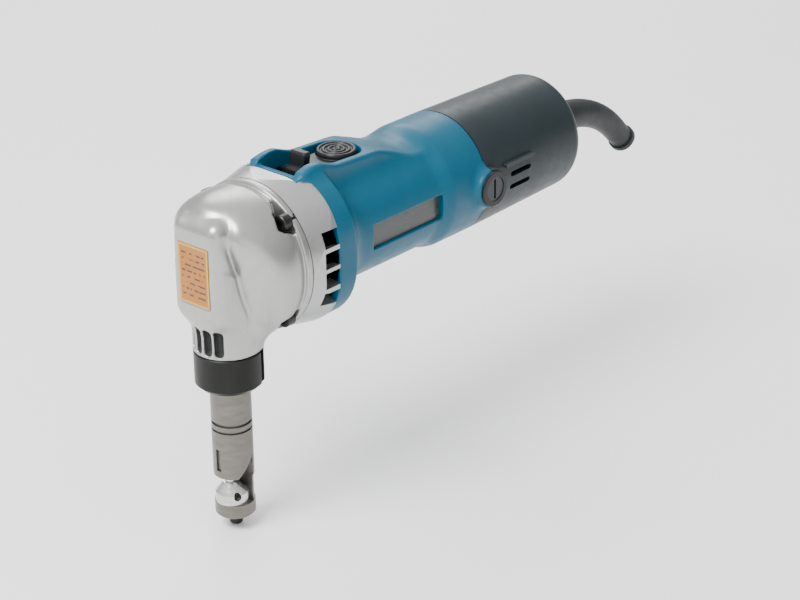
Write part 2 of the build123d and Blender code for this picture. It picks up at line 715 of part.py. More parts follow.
    # Channel for the switch rod and the slot for the slider's lug.
    with BuildSketch(across(fan_rear_x + 3)):
        with Locations((0, (rod_top + loose + sleeve_radius) / 2)):
            Rectangle(2 * (rod_half_width + loose), rod_top + loose - sleeve_radius)
    extrude(amount=cover_joint_x - fan_rear_x, mode=Mode.SUBTRACT)
    with BuildSketch(level(motor_axis_z + rod_bottom)):
        with Locations((lug_front_x + (lug_length - slider_travel) / 2, 0)):
            Rectangle(lug_length + slider_travel + 2 * loose, 2 * (lug_half_width + loose))
    extrude(amount=pocket_floor - rod_bottom + 0.5, mode=Mode.SUBTRACT)
    # Recesses for the side plates.
    for side in (-1, 1):
        with BuildSketch(side_plate_plane(side)):
            Rectangle(side_plate_length, side_plate_height)
        extrude(amount=6, mode=Mode.SUBTRACT)

with BuildPart() as side_plates:
    for side in (-1, 1):
        with BuildSketch(side_plate_plane(side)):
            Rectangle(side_plate_length - seat_gap, side_plate_height - seat_gap)
        extrude(amount=side_plate_thickness)

# ================================================================ rear cover

with BuildPart() as rear_cover:
    with BuildSketch(lengthwise):
        with BuildLine():
            mouth = Line((cover_joint_x, 0), (cover_joint_x, tail_radius))
            side = Line(mouth @ 1, (rear_face_x - cover_edge_radius, rear_end_radius))
            edge = TangentArc(side @ 1, (rear_face_x, rear_end_radius - cover_edge_radius), tangent=side % 1)
            Polyline(edge @ 1, (rear_face_x, 0), mouth @ 0)
        make_face()
    revolve(axis=motor_axis)
    # Rear part of the brush bosses and a ridge behind each, then the front is cut square.
    with BuildSketch(Plane.XZ.offset(-boss_reach)):
        with Locations((brush_x, motor_axis_z)):
            Circle(boss_radius)
    extrude(amount=2 * boss_reach)
    with BuildSketch(Plane.XZ.offset(-tail_radius - 0.9)):
        with Locations((cover_slot_start_x + cover_slot_length / 2 - 2, motor_axis_z + cover_ridge_rise)):
            SlotOverall(cover_slot_length + 6, 2.4)
    extrude(amount=2 * (tail_radius + 0.9))
    with BuildSketch(across(cover_joint_x)):
        Circle(3 * tail_radius)
    extrude(amount=-3 * boss_radius, mode=Mode.SUBTRACT)
    # Inside of the shell.
    with BuildSketch(lengthwise):
        with BuildLine():
            throat = Line((cover_joint_x, 0), (cover_joint_x, tail_radius - cover_wall))
            inner = Line(throat @ 1, (rear_face_x - cover_edge_radius, rear_end_radius - cover_wall))
            inner_edge = TangentArc(inner @ 1, (rear_face_x - cover_end_wall, cover_inner_edge),
                                    tangent=inner % 1)
            Polyline(inner_edge @ 1, (rear_face_x - cover_end_wall, 0), throat @ 0)
        make_face()
    revolve(axis=motor_axis, mode=Mode.SUBTRACT)
    with BuildSketch(Plane.XZ.offset(-boss_reach - 1)):
        with Locations((brush_x, motor_axis_z)):
            Circle(brush_holder_radius)
    extrude(amount=2 * boss_reach + 2, mode=Mode.SUBTRACT)
    with BuildSketch(Plane.XZ.offset(-2 * tail_radius)):
        for rise in cover_slot_rises:
            with Locations((cover_slot_start_x + cover_slot_length / 2, motor_axis_z + rise)):
                SlotOverall(cover_slot_length, cover_slot_width)
    extrude(amount=4 * tail_radius, mode=Mode.SUBTRACT)
    # Hole for the cord guard and posts for the two cover screws.
    with BuildSketch(across(rear_face_x - cover_end_wall)):
        Circle(guard_radius)
    extrude(amount=cover_end_wall, mode=Mode.SUBTRACT)
    with BuildSketch(across(sleeve_end_x + seat_gap)):
        with Locations((cover_screw_reach, 0), (-cover_screw_reach, 0)):
            Circle(cover_screw_radius + 2.4)
    extrude(amount=rear_face_x - cover_end_wall - sleeve_end_x - seat_gap)
    with BuildSketch(across(sleeve_end_x)):
        with Locations((cover_screw_reach, 0), (-cover_screw_reach, 0)):
            Circle(cover_screw_radius)
    extrude(amount=rear_face_x - sleeve_end_x, mode=Mode.SUBTRACT)
    with BuildSketch(across(rear_face_x)):
        with Locations((cover_screw_reach, 0), (-cover_screw_reach, 0)):
            Circle(2 * cover_screw_radius)
    extrude(amount=-1.8, mode=Mode.SUBTRACT)

with BuildPart() as rear_cover_screws:
    with BuildSketch(across(rear_face_x - 1.8)):
        with Locations((cover_screw_reach, 0), (-cover_screw_reach, 0)):
            Circle(2 * cover_screw_radius - 0.2)
    extrude(amount=1.6)
    with BuildSketch(across(rear_face_x - 1.2)):
        with Locations((cover_screw_reach, 0), (-cover_screw_reach, 0)):
            Rectangle(4.4, 0.9)
            Rectangle(0.9, 4.4)
    extrude(amount=1, mode=Mode.SUBTRACT)
    with BuildSketch(across(sleeve_end_x)):
        with Locations((cover_screw_reach, 0), (-cover_screw_reach, 0)):
            Circle(cover_screw_radius)
    extrude(amount=rear_face_x - 1.8 - sleeve_end_x)

# ================================================================ cord guard and clamp

with BuildPart() as cord_guard:
    with BuildSketch(across(guard_root_x)):
        Circle(guard_flange_radius)
    extrude(amount=guard_flange_length)
    with BuildLine(lengthwise) as guard_path:
        run = Line((guard_root_x + guard_flange_length, 0), (rear_face_x + guard_straight, 0))
        droop = JernArc(run @ 1, run % 1, guard_bend_radius, -guard_drop_angle)
        tip = Line(droop @ 1, droop @ 1 + guard_tip_length * (droop % 1))
    with BuildSketch(Plane(guard_path.wire() @ 0, z_dir=guard_path.wire() % 0)) as guard_root:
        Circle(guard_radius)
    with BuildSketch(Plane(guard_path.wire() @ 1, z_dir=guard_path.wire() % 1)) as guard_tip:
        Circle(guard_tip_radius)
    sweep(sections=[guard_root.sketch, guard_tip.sketch], path=guard_path.wire(), multisection=True)
    # Thick rim round the mouth.
    with BuildSketch(Plane(guard_path.wire() @ 1, z_dir=guard_path.wire() % 1)):
        Circle(guard_rim_radius)
    extrude(amount=-guard_rim_length)
    fillet(cord_guard.edges().filter_by(GeomType.CIRCLE).sort_by(Axis.X)[-1], radius=guard_rim_round)
    # Bore for the cord.
    with BuildLine(lengthwise) as bore_path:
        bore_run = Line((guard_root_x, 0), (rear_face_x + guard_straight, 0))
        bore_bend = JernArc(bore_run @ 1, bore_run % 1, guard_bend_radius, -guard_drop_angle)
        Line(bore_bend @ 1, bore_bend @ 1 + (guard_tip_length + 1) * (bore_bend % 1))
    with BuildSketch(Plane(bore_path.wire() @ 0, z_dir=bore_path.wire() % 0)):
        Circle(guard_bore_radius)
    sweep(path=bore_path.wire(), mode=Mode.SUBTRACT)

with BuildPart() as cord_clamp:
    with BuildSketch(across(clamp_x)):
        Rectangle(2 * clamp_half_width, clamp_height)
        Circle(guard_bore_radius, mode=Mode.SUBTRACT)
    extrude(amount=clamp_length)
    with BuildSketch(level(motor_axis_z - clamp_height)):
        with Locations((clamp_screw_x, clamp_screw_reach), (clamp_screw_x, -clamp_screw_reach)):
            Circle(clamp_screw_radius)
    extrude(amount=2 * clamp_height, mode=Mode.SUBTRACT)

with BuildPart() as cord_clamp_screws:
    with BuildSketch(level(motor_axis_z + clamp_height / 2)):
        with Locations((clamp_screw_x, clamp_screw_reach), (clamp_screw_x, -clamp_screw_reach)):
            Circle(clamp_screw_radius)
    extrude(amount=-clamp_screw_length)
    with BuildSketch(level(motor_axis_z + clamp_height / 2)):
        with Locations((clamp_screw_x, clamp_screw_reach), (clamp_screw_x, -clamp_screw_reach)):
            Circle(clamp_screw_head_radius)
    extrude(amount=clamp_screw_head_length)

# ================================================================ brush gear


def outward_plane(side, reach):
    """Plane square to Y at a distance from the motor axis, facing outward, on the brush line."""
    return Plane(origin=(brush_x, side * reach, motor_axis_z), x_dir=(1, 0, 0), z_dir=(0, side, 0))


with BuildPart() as brush_holders:
    for side in (-1, 1):
        with BuildSketch(outward_plane(side, brush_holder_root)):
            Circle(brush_holder_radius)
            Circle(brush_bore_radius, mode=Mode.SUBTRACT)
        extrude(amount=boss_reach - brush_holder_root)
        with BuildSketch(outward_plane(side, boss_reach)):
            Circle(brush_rim_radius)
            Circle(brush_cap_radius, mode=Mode.SUBTRACT)
        extrude(amount=brush_rim_thickness)
        with BuildSketch(outward_plane(side, cap_seat_reach)):
            Circle(brush_cap_radius)
        extrude(amount=brush_cap_length, mode=Mode.SUBTRACT)
    chamfer(brush_holders.faces().sort_by(Axis.Y)[0].outer_wire().edges(), length=0.5)
    chamfer(brush_holders.faces().sort_by(Axis.Y)[-1].outer_wire().edges(), length=0.5)

with BuildPart() as brush_caps:
    for side in (-1, 1):
        with BuildSketch(outward_plane(side, cap_seat_reach)):
            Circle(brush_cap_radius - 0.1)
        extrude(amount=brush_cap_length - 0.4)
        with BuildSketch(outward_plane(side, boss_reach + brush_rim_thickness - 0.4 - cap_slot_depth)):
            Rectangle(cap_slot_width, 1.6 * brush_cap_radius)
        extrude(amount=cap_slot_depth, mode=Mode.SUBTRACT)

with BuildPart() as carbon_brushes:
    for side in (-1, 1):
        with BuildSketch(outward_plane(side, brush_tip_reach)):
            Rectangle(2 * brush_half_width, 2 * brush_half_length)
        extrude(amount=brush_height)

with BuildPart() as brush_springs:
    for side in (-1, 1):
        with BuildSketch(outward_plane(side, brush_tip_reach + brush_height)):
            Circle(spring_radius)
            Circle(spring_radius - spring_wall, mode=Mode.SUBTRACT)
        extrude(amount=cap_seat_reach - brush_tip_reach - brush_height)

# ================================================================ motor

with BuildPart() as armature_shaft:
    with BuildSketch(across(shaft_front_x)):
        with BuildLine():
            Polyline(*gear_outline(pinion_teeth), close=True)
        make_face()
    extrude(amount=pinion_rear_x - shaft_front_x)
    with BuildSketch(across(pinion_rear_x)):
        Circle(shaft_radius)
    extrude(amount=rear_bearing_x - pinion_rear_x)
    with BuildSketch(across(rear_bearing_x)):
        Circle(rear_bearing_bore - running)
    extrude(amount=rear_bearing_width)

motor_bearing_front = ball_bearing(across(front_bearing_x), front_bearing_width, front_bearing_radius,
                                   shaft_radius + running)
motor_bearing_rear = ball_bearing(across(rear_bearing_x), rear_bearing_width, rear_bearing_radius,
                                  rear_bearing_bore)

with BuildPart() as bearing_boot:
    with BuildSketch(across(rear_bearing_x)):
        Circle(rear_bearing_radius + boot_wall)
        Circle(rear_bearing_radius, mode=Mode.SUBTRACT)
    extrude(amount=rear_bearing_width)

with BuildPart() as cooling_fan:
    with BuildSketch(across(fan_front_x)):
        Circle(fan_hub_radius)
    extrude(amount=fan_length)
    with BuildSketch(across(fan_rear_x - fan_disc)):
        Circle(fan_radius)
    extrude(amount=fan_disc)
    with BuildSketch(across(fan_front_x + fan_blade_step)):
        with PolarLocations((fan_hub_radius + fan_radius) / 2, fan_blades):
            Rectangle(fan_radius - fan_hub_radius, fan_blade_thickness, rotation=fan_blade_angle)
    extrude(amount=fan_length - fan_disc - fan_blade_step)
    with BuildSketch(across(fan_front_x)):
        Circle(shaft_radius)
    extrude(amount=fan_length, mode=Mode.SUBTRACT)

with BuildPart() as armature_core:
    with BuildSketch(across(core_front_x)):
        Circle(core_radius)
        Circle(shaft_radius, mode=Mode.SUBTRACT)
        with PolarLocations(core_radius, core_slots):
            Rectangle(2 * slot_depth, slot_mouth_width, mode=Mode.SUBTRACT)
        with PolarLocations(core_radius - slot_depth, core_slots):
            Circle(slot_radius, mode=Mode.SUBTRACT)
    extrude(amount=field_length)

with BuildPart() as armature_winding:
    with BuildSketch(across(winding_front_x)):
        Circle(winding_radius)
        Circle(shaft_radius, mode=Mode.SUBTRACT)
    extrude(amount=winding_length)
    with BuildSketch(across(core_rear_x)):
        Circle(winding_radius)
        Circle(shaft_radius, mode=Mode.SUBTRACT)
    extrude(amount=winding_length)
    fillet(armature_winding.edges().filter_by(GeomType.CIRCLE).filter_by(
        lambda edge: abs(edge.radius - winding_radius) < 0.01).group_by(Axis.X)[0], radius=3)
    fillet(armature_winding.edges().filter_by(GeomType.CIRCLE).filter_by(
        lambda edge: abs(edge.radius - winding_radius) < 0.01).group_by(Axis.X)[-1], radius=3)

with BuildPart() as commutator:
    with BuildSketch(across(commutator_x)):
        Circle(commutator_radius)
        Circle(shaft_radius, mode=Mode.SUBTRACT)
        with PolarLocations(commutator_radius, commutator_bars):
            Rectangle(2 * commutator_cut_depth, commutator_cut_width, mode=Mode.SUBTRACT)
    extrude(amount=commutator_length)

with BuildPart() as field_core:
    with BuildSketch(across(core_front_x)):
        Circle(field_radius)
        Circle(core_radius + air_gap, mode=Mode.SUBTRACT)
    extrude(amount=field_length)


with BuildPart() as field_coils:
    for start_x, run_x in ((core_front_x, -coil_length), (core_rear_x, coil_length)):
        with BuildSketch(across(start_x)):
            Circle(field_radius - 1)
            Circle(coil_inner_radius, mode=Mode.SUBTRACT)
            Rectangle(2 * field_radius, 14, mode=Mode.SUBTRACT)
            with Locations((0, field_radius)):
                Rectangle(2 * (rod_half_width + 1), 6, mode=Mode.SUBTRACT)
        extrude(amount=run_x)

with BuildPart() as fan_baffle:
    with BuildSketch(across(baffle_x)):
        Circle(bore_wall_radius)
        Circle(winding_radius + baffle_air_gap, mode=Mode.SUBTRACT)
    extrude(amount=baffle_thickness)

# ================================================================ switch

with BuildPart() as switch_slider:
    with BuildSketch(level(motor_axis_z + slider_bottom)):
        with BuildLine():
            Polyline((pad_centre_x, slider_half_width), (knob_x - 3.5, slider_half_width),
                     (knob_x - 3.5, -slider_half_width), (pad_centre_x, -slider_half_width), close=True)
        make_face()
        with Locations((pad_centre_x, 0)):
            Circle(pad_radius)
    extrude(amount=slider_plate_top - slider_bottom)
    with BuildSketch(level(motor_axis_z + slider_plate_top)):
        with Locations((pad_centre_x, 0)):
            Circle(pad_radius)
    extrude(amount=pad_top - slider_plate_top)
    fillet(switch_slider.faces().sort_by(Axis.Z)[-1].edges(), radius=0.7)
    # Concentric grip rings in the pad.
    with BuildSketch(level(motor_axis_z + pad_top)):
        for radius in pad_ring_radii:
            with Locations((pad_centre_x, 0)):
                Circle(radius)
                Circle(radius - 1.0, mode=Mode.SUBTRACT)
    extrude(amount=-0.7, mode=Mode.SUBTRACT)
    # Thumb ridge at the front.
    with BuildSketch(lengthwise.offset(-slider_half_width)):
        with BuildLine():
            heel = Line((knob_x - 3.5, slider_plate_top - 1), (knob_x - 3.5, slider_plate_top + 4))
            top = Spline(heel @ 1, (knob_x - 2.4, knob_top - 0.7), (knob_x, knob_top),
                         (knob_x + 4, knob_top - 3), (knob_x + 13, slider_plate_top),
                         tangents=((0, 1), (1, -0.25)))
            Polyline(top @ 1, (knob_x + 13, slider_plate_top - 1), heel @ 0)
        make_face()
    extrude(amount=2 * slider_half_width)
    # Lug that reaches through the deck to the rod.
    with BuildSketch(level(motor_axis_z + rod_top)):
        with Locations((lug_front_x + lug_length / 2, 0)):
            Rectangle(lug_length, 2 * lug_half_width)
    extrude(amount=slider_bottom - rod_top)

with BuildPart() as switch_rod:
    with BuildSketch(level(motor_axis_z + rod_bottom)):
        with Locations(((lug_front_x - 2 + tab_front_x + tab_length) / 2, 0)):
            Rectangle(tab_front_x + tab_length - lug_front_x + 2, 2 * rod_half_width)
    extrude(amount=rod_top - rod_bottom)
    with BuildSketch(level(motor_axis_z + rod_bottom - tab_depth)):
        with Locations((tab_front_x + tab_length / 2, 0)):
            Rectangle(tab_length, 3.6)
    extrude(amount=tab_depth)

with BuildPart() as switch_body:
    with BuildSketch(level(motor_axis_z + switch_top)):
        with Locations((switch_front_x + switch_length / 2, 0)):
            Rectangle(switch_length, 2 * switch_half_width)
    extrude(amount=-switch_height)
    fillet(switch_body.edges().filter_by(Axis.Z), radius=1.2)
    with BuildSketch(level(motor_axis_z + switch_top)):
        with Locations((tab_front_x + (tab_length - slider_travel) / 2, 0)):
            Rectangle(tab_length + slider_travel + 1.2, 5)
    extrude(amount=-tab_depth - 0.5, mode=Mode.SUBTRACT)

# ================================================================ crank and gear
with BuildPart() as crank_shaft:
    with BuildSketch(across(web_front_x, crank_axis_z)):
        Circle(crank_web_radius)
    extrude(amount=crank_web_thickness)
    with BuildSketch(across(web_rear_x, crank_axis_z)):
        Circle(journal_radius)
    extrude(amount=gear_rear_x - web_rear_x)
    with BuildSketch(across(gear_rear_x, crank_axis_z)):
        Circle(tail_journal_radius)
    extrude(amount=crank_bush_x + crank_bush_length - gear_rear_x)
    with BuildSketch(across(-roller_half_length, pin_axis_z)):
        Circle(crank_pin_radius)
    extrude(amount=web_front_x + roller_half_length)

crank_roller = round_bar(across(-roller_half_length, pin_axis_z), 2 * roller_half_length, roller_radius,
                         crank_pin_radius)
crank_bearing = ball_bearing(across(crank_bearing_x, crank_axis_z), crank_bearing_width,
                             crank_bearing_radius, journal_radius + running)
crank_bush = round_bar(across(crank_bush_x, crank_axis_z), crank_bush_length, crank_bush_radius,
                       tail_journal_radius + running)
thrust_washer = round_bar(across(washer_front_x, crank_axis_z - crank_throw / 2), thrust_washer_thickness,
                          thrust_washer_radius, thrust_washer_hole_radius)

with BuildPart() as crank_gear:
    with BuildSketch(across(gear_front_x, crank_axis_z)):
        with BuildLine():
            Polyline(*gear_outline(gear_teeth), close=True)
        make_face()
        Circle(journal_radius, mode=Mode.SUBTRACT)
    extrude(amount=gear_width)
    with BuildSketch(across(gear_front_x, crank_axis_z), across(gear_rear_x - 1.5, crank_axis_z)):
        Circle(13)
        Circle(8, mode=Mode.SUBTRACT)
    extrude(amount=1.5, mode=Mode.SUBTRACT)

# ================================================================ ram, bush and seal
with BuildPart() as ram:
    with BuildSketch(level(ram_bottom_z)):
        Circle(ram_radius)
    extrude(amount=pin_axis_z - yoke_half_height - ram_bottom_z + 1)
    with BuildSketch(Plane.YZ.offset(-yoke_half_thickness)):
        with Locations((0, pin_axis_z)):
            RectangleRounded(2 * yoke_half_width, 2 * yoke_half_height, yoke_corner)
    extrude(amount=2 * yoke_half_thickness)
    with BuildSketch(Plane.YZ.offset(-yoke_half_thickness)):
        with Locations((0, pin_axis_z)):
            SlotOverall(2 * slot_half_width, 2 * slot_half_height)
    extrude(amount=2 * yoke_half_thickness, mode=Mode.SUBTRACT)
    # Socket for the stem of the punch holder, and the cross holes for its pins.
    with BuildSketch(level(ram_bottom_z)):
        Circle(holder_stem_radius + running)
    extrude(amount=holder_stem_length, mode=Mode.SUBTRACT)
    with BuildSketch(Plane.YZ.offset(-ram_radius)):
        with Locations((pin_side, pin_z), (-pin_side, pin_z)):
            Circle(swivel_pin_radius)
    extrude(amount=2 * ram_radius, mode=Mode.SUBTRACT)

with BuildPart() as swivel_pins:
    with BuildSketch(Plane.YZ.offset(-ram_radius + 1)):
        with Locations((pin_side, pin_z), (-pin_side, pin_z)):
            Circle(swivel_pin_radius)
    extrude(amount=2 * ram_radius - 2)

ram_bush = round_bar(level(bush_bottom_z), ram_bush_length, bush_radius, ram_radius + running)
ram_seal = round_bar(level(seal_bottom_z), ram_seal_thickness, bush_radius, ram_radius + running)

# ================================================================ punch and its holder

with BuildPart() as punch_holder:
    with BuildSketch(level(punch_holder_bottom_z)):
        Circle(punch_holder_radius)
    extrude(amount=holder_stem_bottom_z - punch_holder_bottom_z)
    chamfer(punch_holder.faces().sort_by(Axis.Z)[0].edges(), length=0.6)
    with BuildSketch(level(holder_stem_bottom_z)):
        Circle(holder_stem_radius)
    extrude(amount=holder_stem_length)
    with BuildSketch(level(stem_groove_z)):
        Circle(holder_stem_radius + 1)
        Circle(stem_groove_radius, mode=Mode.SUBTRACT)
    extrude(amount=2 * (swivel_pin_radius + running), mode=Mode.SUBTRACT)
    with BuildSketch(level(punch_holder_bottom_z, -punch_offset)):
        Circle(punch_radius)
    extrude(amount=punch_at_rest_z + punch_length - punch_holder_bottom_z, mode=Mode.SUBTRACT)
    with BuildSketch(Plane.YZ.offset(-punch_offset + punch_radius - 0.5)):
        with Locations((0, set_screw_z)):
            Circle(set_screw_radius)
    extrude(amount=punch_holder_radius + punch_offset, mode=Mode.SUBTRACT)

with BuildPart() as punch_screw:
    with BuildSketch(Plane.YZ.offset(-punch_offset + punch_radius)):
        with Locations((0, set_screw_z)):
            Circle(set_screw_radius)
    extrude(amount=punch_holder_radius + punch_offset - punch_radius - 0.8)
    with BuildSketch(Plane.YZ.offset(punch_holder_radius - 2.6)):
        with Locations((0, set_screw_z)):
            RegularPolygon(1.1, 6)
    extrude(amount=2, mode=Mode.SUBTRACT)

with BuildPart() as punch:
    with BuildSketch(level(punch_at_rest_z, -punch_offset)):
        Circle(punch_radius)
    extrude(amount=punch_length)
    # Hollow cutting face.
    with BuildSketch(Plane.XZ.offset(-punch_radius - 1)):
        with Locations((-punch_offset, punch_at_rest_z + punch_hollow_depth - punch_hollow_radius)):
            Circle(punch_hollow_radius)
    extrude(amount=2 * punch_radius + 2, mode=Mode.SUBTRACT)

# ================================================================ die holder

with BuildPart() as die_holder:
    with BuildSketch(level(foot_bottom_z)):
        Circle(tube_radius)
    extrude(amount=holder_top_z - foot_bottom_z)
    # Throat between the nose and the foot.
    with BuildSketch(Plane.XZ.offset(-2 * tube_radius)):
        Polygon((-2 * tube_radius, foot_top_z), (-2 * tube_radius, nose_height),
                (-punch_offset - punch_radius, nose_height), (arm_front_x, throat_top_z),
                (arm_front_x, foot_top_z), align=None)
    extrude(amount=4 * tube_radius, mode=Mode.SUBTRACT)
    # The arm is a little slimmer than the tube.
    with BuildSketch(level(foot_top_z)):
        Circle(2 * tube_radius)
        Circle(arm_radius, mode=Mode.SUBTRACT)
    extrude(amount=nose_height - 1 - foot_top_z, mode=Mode.SUBTRACT)
    # Cutting line notch in the front of the nose.
    with BuildSketch(level(cut_notch_z)):
        with Locations((-tube_radius, 0)):
            Rectangle(2 * gauge_groove_depth, cut_notch_width)
    extrude(amount=cut_notch_length, mode=Mode.SUBTRACT)
    # Sheet gauge grooves.
    for groove_z, groove_width in zip(gauge_groove_z, gauge_groove_width):
        with BuildSketch(level(groove_z - groove_width / 2)):
            Circle(2 * tube_radius)
            Circle(tube_radius - gauge_groove_depth, mode=Mode.SUBTRACT)
        extrude(amount=groove_width, mode=Mode.SUBTRACT)
    # Undercut between the lock nut's lip and the clamped flange.
    with BuildSketch(level(nut_bottom_z)):
        Circle(2 * tube_radius)
        Circle(tube_radius - tube_relief, mode=Mode.SUBTRACT)
    extrude(amount=holder_flange_bottom_z - nut_bottom_z, mode=Mode.SUBTRACT)
    # Clamped flange and the spigot that turns in the neck.
    with BuildSketch(level(holder_flange_bottom_z)):
        Circle(holder_flange_radius)
    extrude(amount=holder_flange_thickness)
    with BuildSketch(level(holder_flange_top_z)):
        Circle(holder_spigot_radius)
    extrude(amount=holder_spigot_length)
    # Foot.
    with BuildSketch(level(foot_bottom_z)):
        Circle(foot_radius)
    extrude(amount=foot_top_z - foot_bottom_z)
    chamfer(die_holder.faces().sort_by(Axis.Z)[0].edges(), length=1.2)
    # Bores for the punch holder, the punch, the die's stem and the die bolt.
    with BuildSketch(level(nose_top_z)):
        Circle(tube_bore_radius)
    extrude(amount=holder_top_z - nose_top_z, mode=Mode.SUBTRACT)
    with BuildSketch(level(nose_height, -punch_offset)):
        Circle(holder_nose_hole)
    extrude(amount=nose_top_z - nose_height, mode=Mode.SUBTRACT)
    with BuildSketch(level(foot_top_z - die_stem_depth)):
        Circle(die_stem_radius)
    extrude(amount=die_stem_depth, mode=Mode.SUBTRACT)
    with BuildSketch(level(foot_bottom_z)):
        Circle(die_bolt_radius)
    extrude(amount=foot_top_z - foot_bottom_z, mode=Mode.SUBTRACT)


with BuildPart() as die:
    with BuildSketch(level(foot_top_z, die_seat_x)):
        Circle(die_base_radius)
    extrude(amount=die_rim_height)
    with BuildSketch(level(foot_top_z + die_rim_height, die_seat_x)):
        Circle(die_base_radius)
    with BuildSketch(level(0, -punch_offset)):
        Circle(die_top_radius)
    loft()
    # Flat back against the arm.
    with BuildSketch(level(foot_top_z)):
        with Locations((arm_front_x + 10, 0)):
            Rectangle(20, 40)
    extrude(amount=die_base_height, mode=Mode.SUBTRACT)
    with BuildSketch(level(foot_top_z - die_stem_depth)):
        Circle(die_stem_radius)
    extrude(amount=die_stem_depth)
    # Punch hole, slug exit and the thread for the bolt.
    with BuildSketch(level(-die_hole_depth, -punch_offset)):
        Circle(punch_radius + die_clearance)
    extrude(amount=die_hole_depth, mode=Mode.SUBTRACT)
    slug_way = Vector(cos(radians(slug_exit_angle)), sin(radians(slug_exit_angle)), -0.35).normalized()
    with BuildSketch(Plane(origin=(-punch_offset, 0, -3.6), z_dir=slug_way)):
        Circle(slug_hole_radius)
    extrude(amount=2 * die_base_radius, mode=Mode.SUBTRACT)
    with BuildSketch(level(foot_top_z - die_stem_depth)):
        Circle(die_bolt_radius)
    extrude(amount=bolt_top_z - foot_top_z + die_stem_depth, mode=Mode.SUBTRACT)

with BuildPart() as die_bolt:
    with BuildSketch(level(foot_bottom_z - die_bolt_head_height)):
        Circle(die_bolt_head_radius)
    extrude(amount=die_bolt_head_height)
    chamfer(die_bolt.faces().sort_by(Axis.Z)[0].edges(), length=0.8)
    with BuildSketch(level(foot_bottom_z - die_bolt_head_height)):
        RegularPolygon(1.9, 6)
    extrude(amount=3, mode=Mode.SUBTRACT)
    with BuildSketch(level(foot_bottom_z)):
        Circle(die_bolt_radius)
    extrude(amount=bolt_top_z - foot_bottom_z)

# ================================================================ lock nut

with BuildPart() as lock_nut:
    with BuildSketch(level(nut_bottom_z)):
        Circle(nut_radius)
    extrude(amount=nut_length)
    chamfer(lock_nut.faces().sort_by(Axis.Z)[0].edges(), length=2.2)
    chamfer(lock_nut.faces().sort_by(Axis.Z)[-1].edges(), length=0.5)
    with BuildSketch(level(nut_bottom_z)):
        Circle(tube_radius + swivel_gap)
    extrude(amount=nut_lip, mode=Mode.SUBTRACT)
    with BuildSketch(level(nut_bottom_z + nut_lip)):
        Circle(nut_thread_radius + swivel_gap)
    extrude(amount=nut_length - nut_lip, mode=Mode.SUBTRACT)
    for angle in nut_notch_angles:
        with BuildSketch(level(nut_bottom_z)):
            with PolarLocations(nut_radius, 1, start_angle=angle):
                Rectangle(2 * nut_notch_depth, nut_notch_width)
        extrude(amount=nut_length, mode=Mode.SUBTRACT)

# ================================================================ write the pieces
pieces = {
    "gear_housing": gear_housing, "label_plate": label_plate, "exhaust_ring": exhaust_ring,
    "housing_screws": housing_screws, "motor_housing": motor_housing, "side_plates": side_plates,
    "rear_cover": rear_cover, "rear_cover_screws": rear_cover_screws, "cord_guard": cord_guard,
    "cord_clamp": cord_clamp, "cord_clamp_screws": cord_clamp_screws, "brush_holders": brush_holders,
    "brush_caps": brush_caps, "carbon_brushes": carbon_brushes, "brush_springs": brush_springs,
    "armature_shaft": armature_shaft, "motor_bearing_front": motor_bearing_front,
    "motor_bearing_rear": motor_bearing_rear, "bearing_boot": bearing_boot, "cooling_fan": cooling_fan,
    "armature_core": armature_core, "armature_winding": armature_winding, "commutator": commutator,
    "field_core": field_core, "field_coils": field_coils, "fan_baffle": fan_baffle,
    "switch_slider": switch_slider, "switch_rod": switch_rod, "switch_body": switch_body,
    "crank_shaft": crank_shaft, "crank_roller": crank_roller, "crank_bearing": crank_bearing,
    "crank_bush": crank_bush, "thrust_washer": thrust_washer, "crank_gear": crank_gear,
    "ram": ram, "swivel_pins": swivel_pins, "ram_bush": ram_bush, "ram_seal": ram_seal,
    "punch_holder": punch_holder, "punch_screw": punch_screw, "punch": punch,
    "die_holder": die_holder, "die": die, "die_bolt": die_bolt, "lock_nut": lock_nut,
}

os.makedirs("parts", exist_ok=True)
for name, piece in pieces.items():
    piece.part.label = name
    export_step(piece.part, f"parts/{name}.step")
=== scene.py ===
import json
from math import cos, pi, radians, sin

import bpy
import numpy as np
from mathutils import Matrix, Vector


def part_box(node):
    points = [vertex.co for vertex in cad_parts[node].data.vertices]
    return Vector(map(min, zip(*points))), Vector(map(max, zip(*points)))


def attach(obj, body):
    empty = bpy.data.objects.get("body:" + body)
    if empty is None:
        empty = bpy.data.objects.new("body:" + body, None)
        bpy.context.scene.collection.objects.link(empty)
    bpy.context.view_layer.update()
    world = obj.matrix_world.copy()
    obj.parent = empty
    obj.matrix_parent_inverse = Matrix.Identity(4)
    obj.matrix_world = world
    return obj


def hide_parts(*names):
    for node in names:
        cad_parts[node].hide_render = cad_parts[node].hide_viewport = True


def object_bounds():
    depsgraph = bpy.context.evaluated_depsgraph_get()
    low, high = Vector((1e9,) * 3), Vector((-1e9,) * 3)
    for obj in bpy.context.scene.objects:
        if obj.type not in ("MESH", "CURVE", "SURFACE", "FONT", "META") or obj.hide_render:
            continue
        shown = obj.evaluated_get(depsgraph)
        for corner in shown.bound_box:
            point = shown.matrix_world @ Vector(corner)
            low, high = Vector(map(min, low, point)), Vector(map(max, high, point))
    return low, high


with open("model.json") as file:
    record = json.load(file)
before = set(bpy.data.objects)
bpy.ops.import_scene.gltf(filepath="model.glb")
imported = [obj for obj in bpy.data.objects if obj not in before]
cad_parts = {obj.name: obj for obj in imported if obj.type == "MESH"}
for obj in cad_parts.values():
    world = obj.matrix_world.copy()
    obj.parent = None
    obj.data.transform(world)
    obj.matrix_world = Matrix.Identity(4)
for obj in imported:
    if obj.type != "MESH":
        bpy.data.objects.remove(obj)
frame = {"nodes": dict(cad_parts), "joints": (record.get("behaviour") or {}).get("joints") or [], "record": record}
cad_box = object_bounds()
nodes = frame["nodes"]
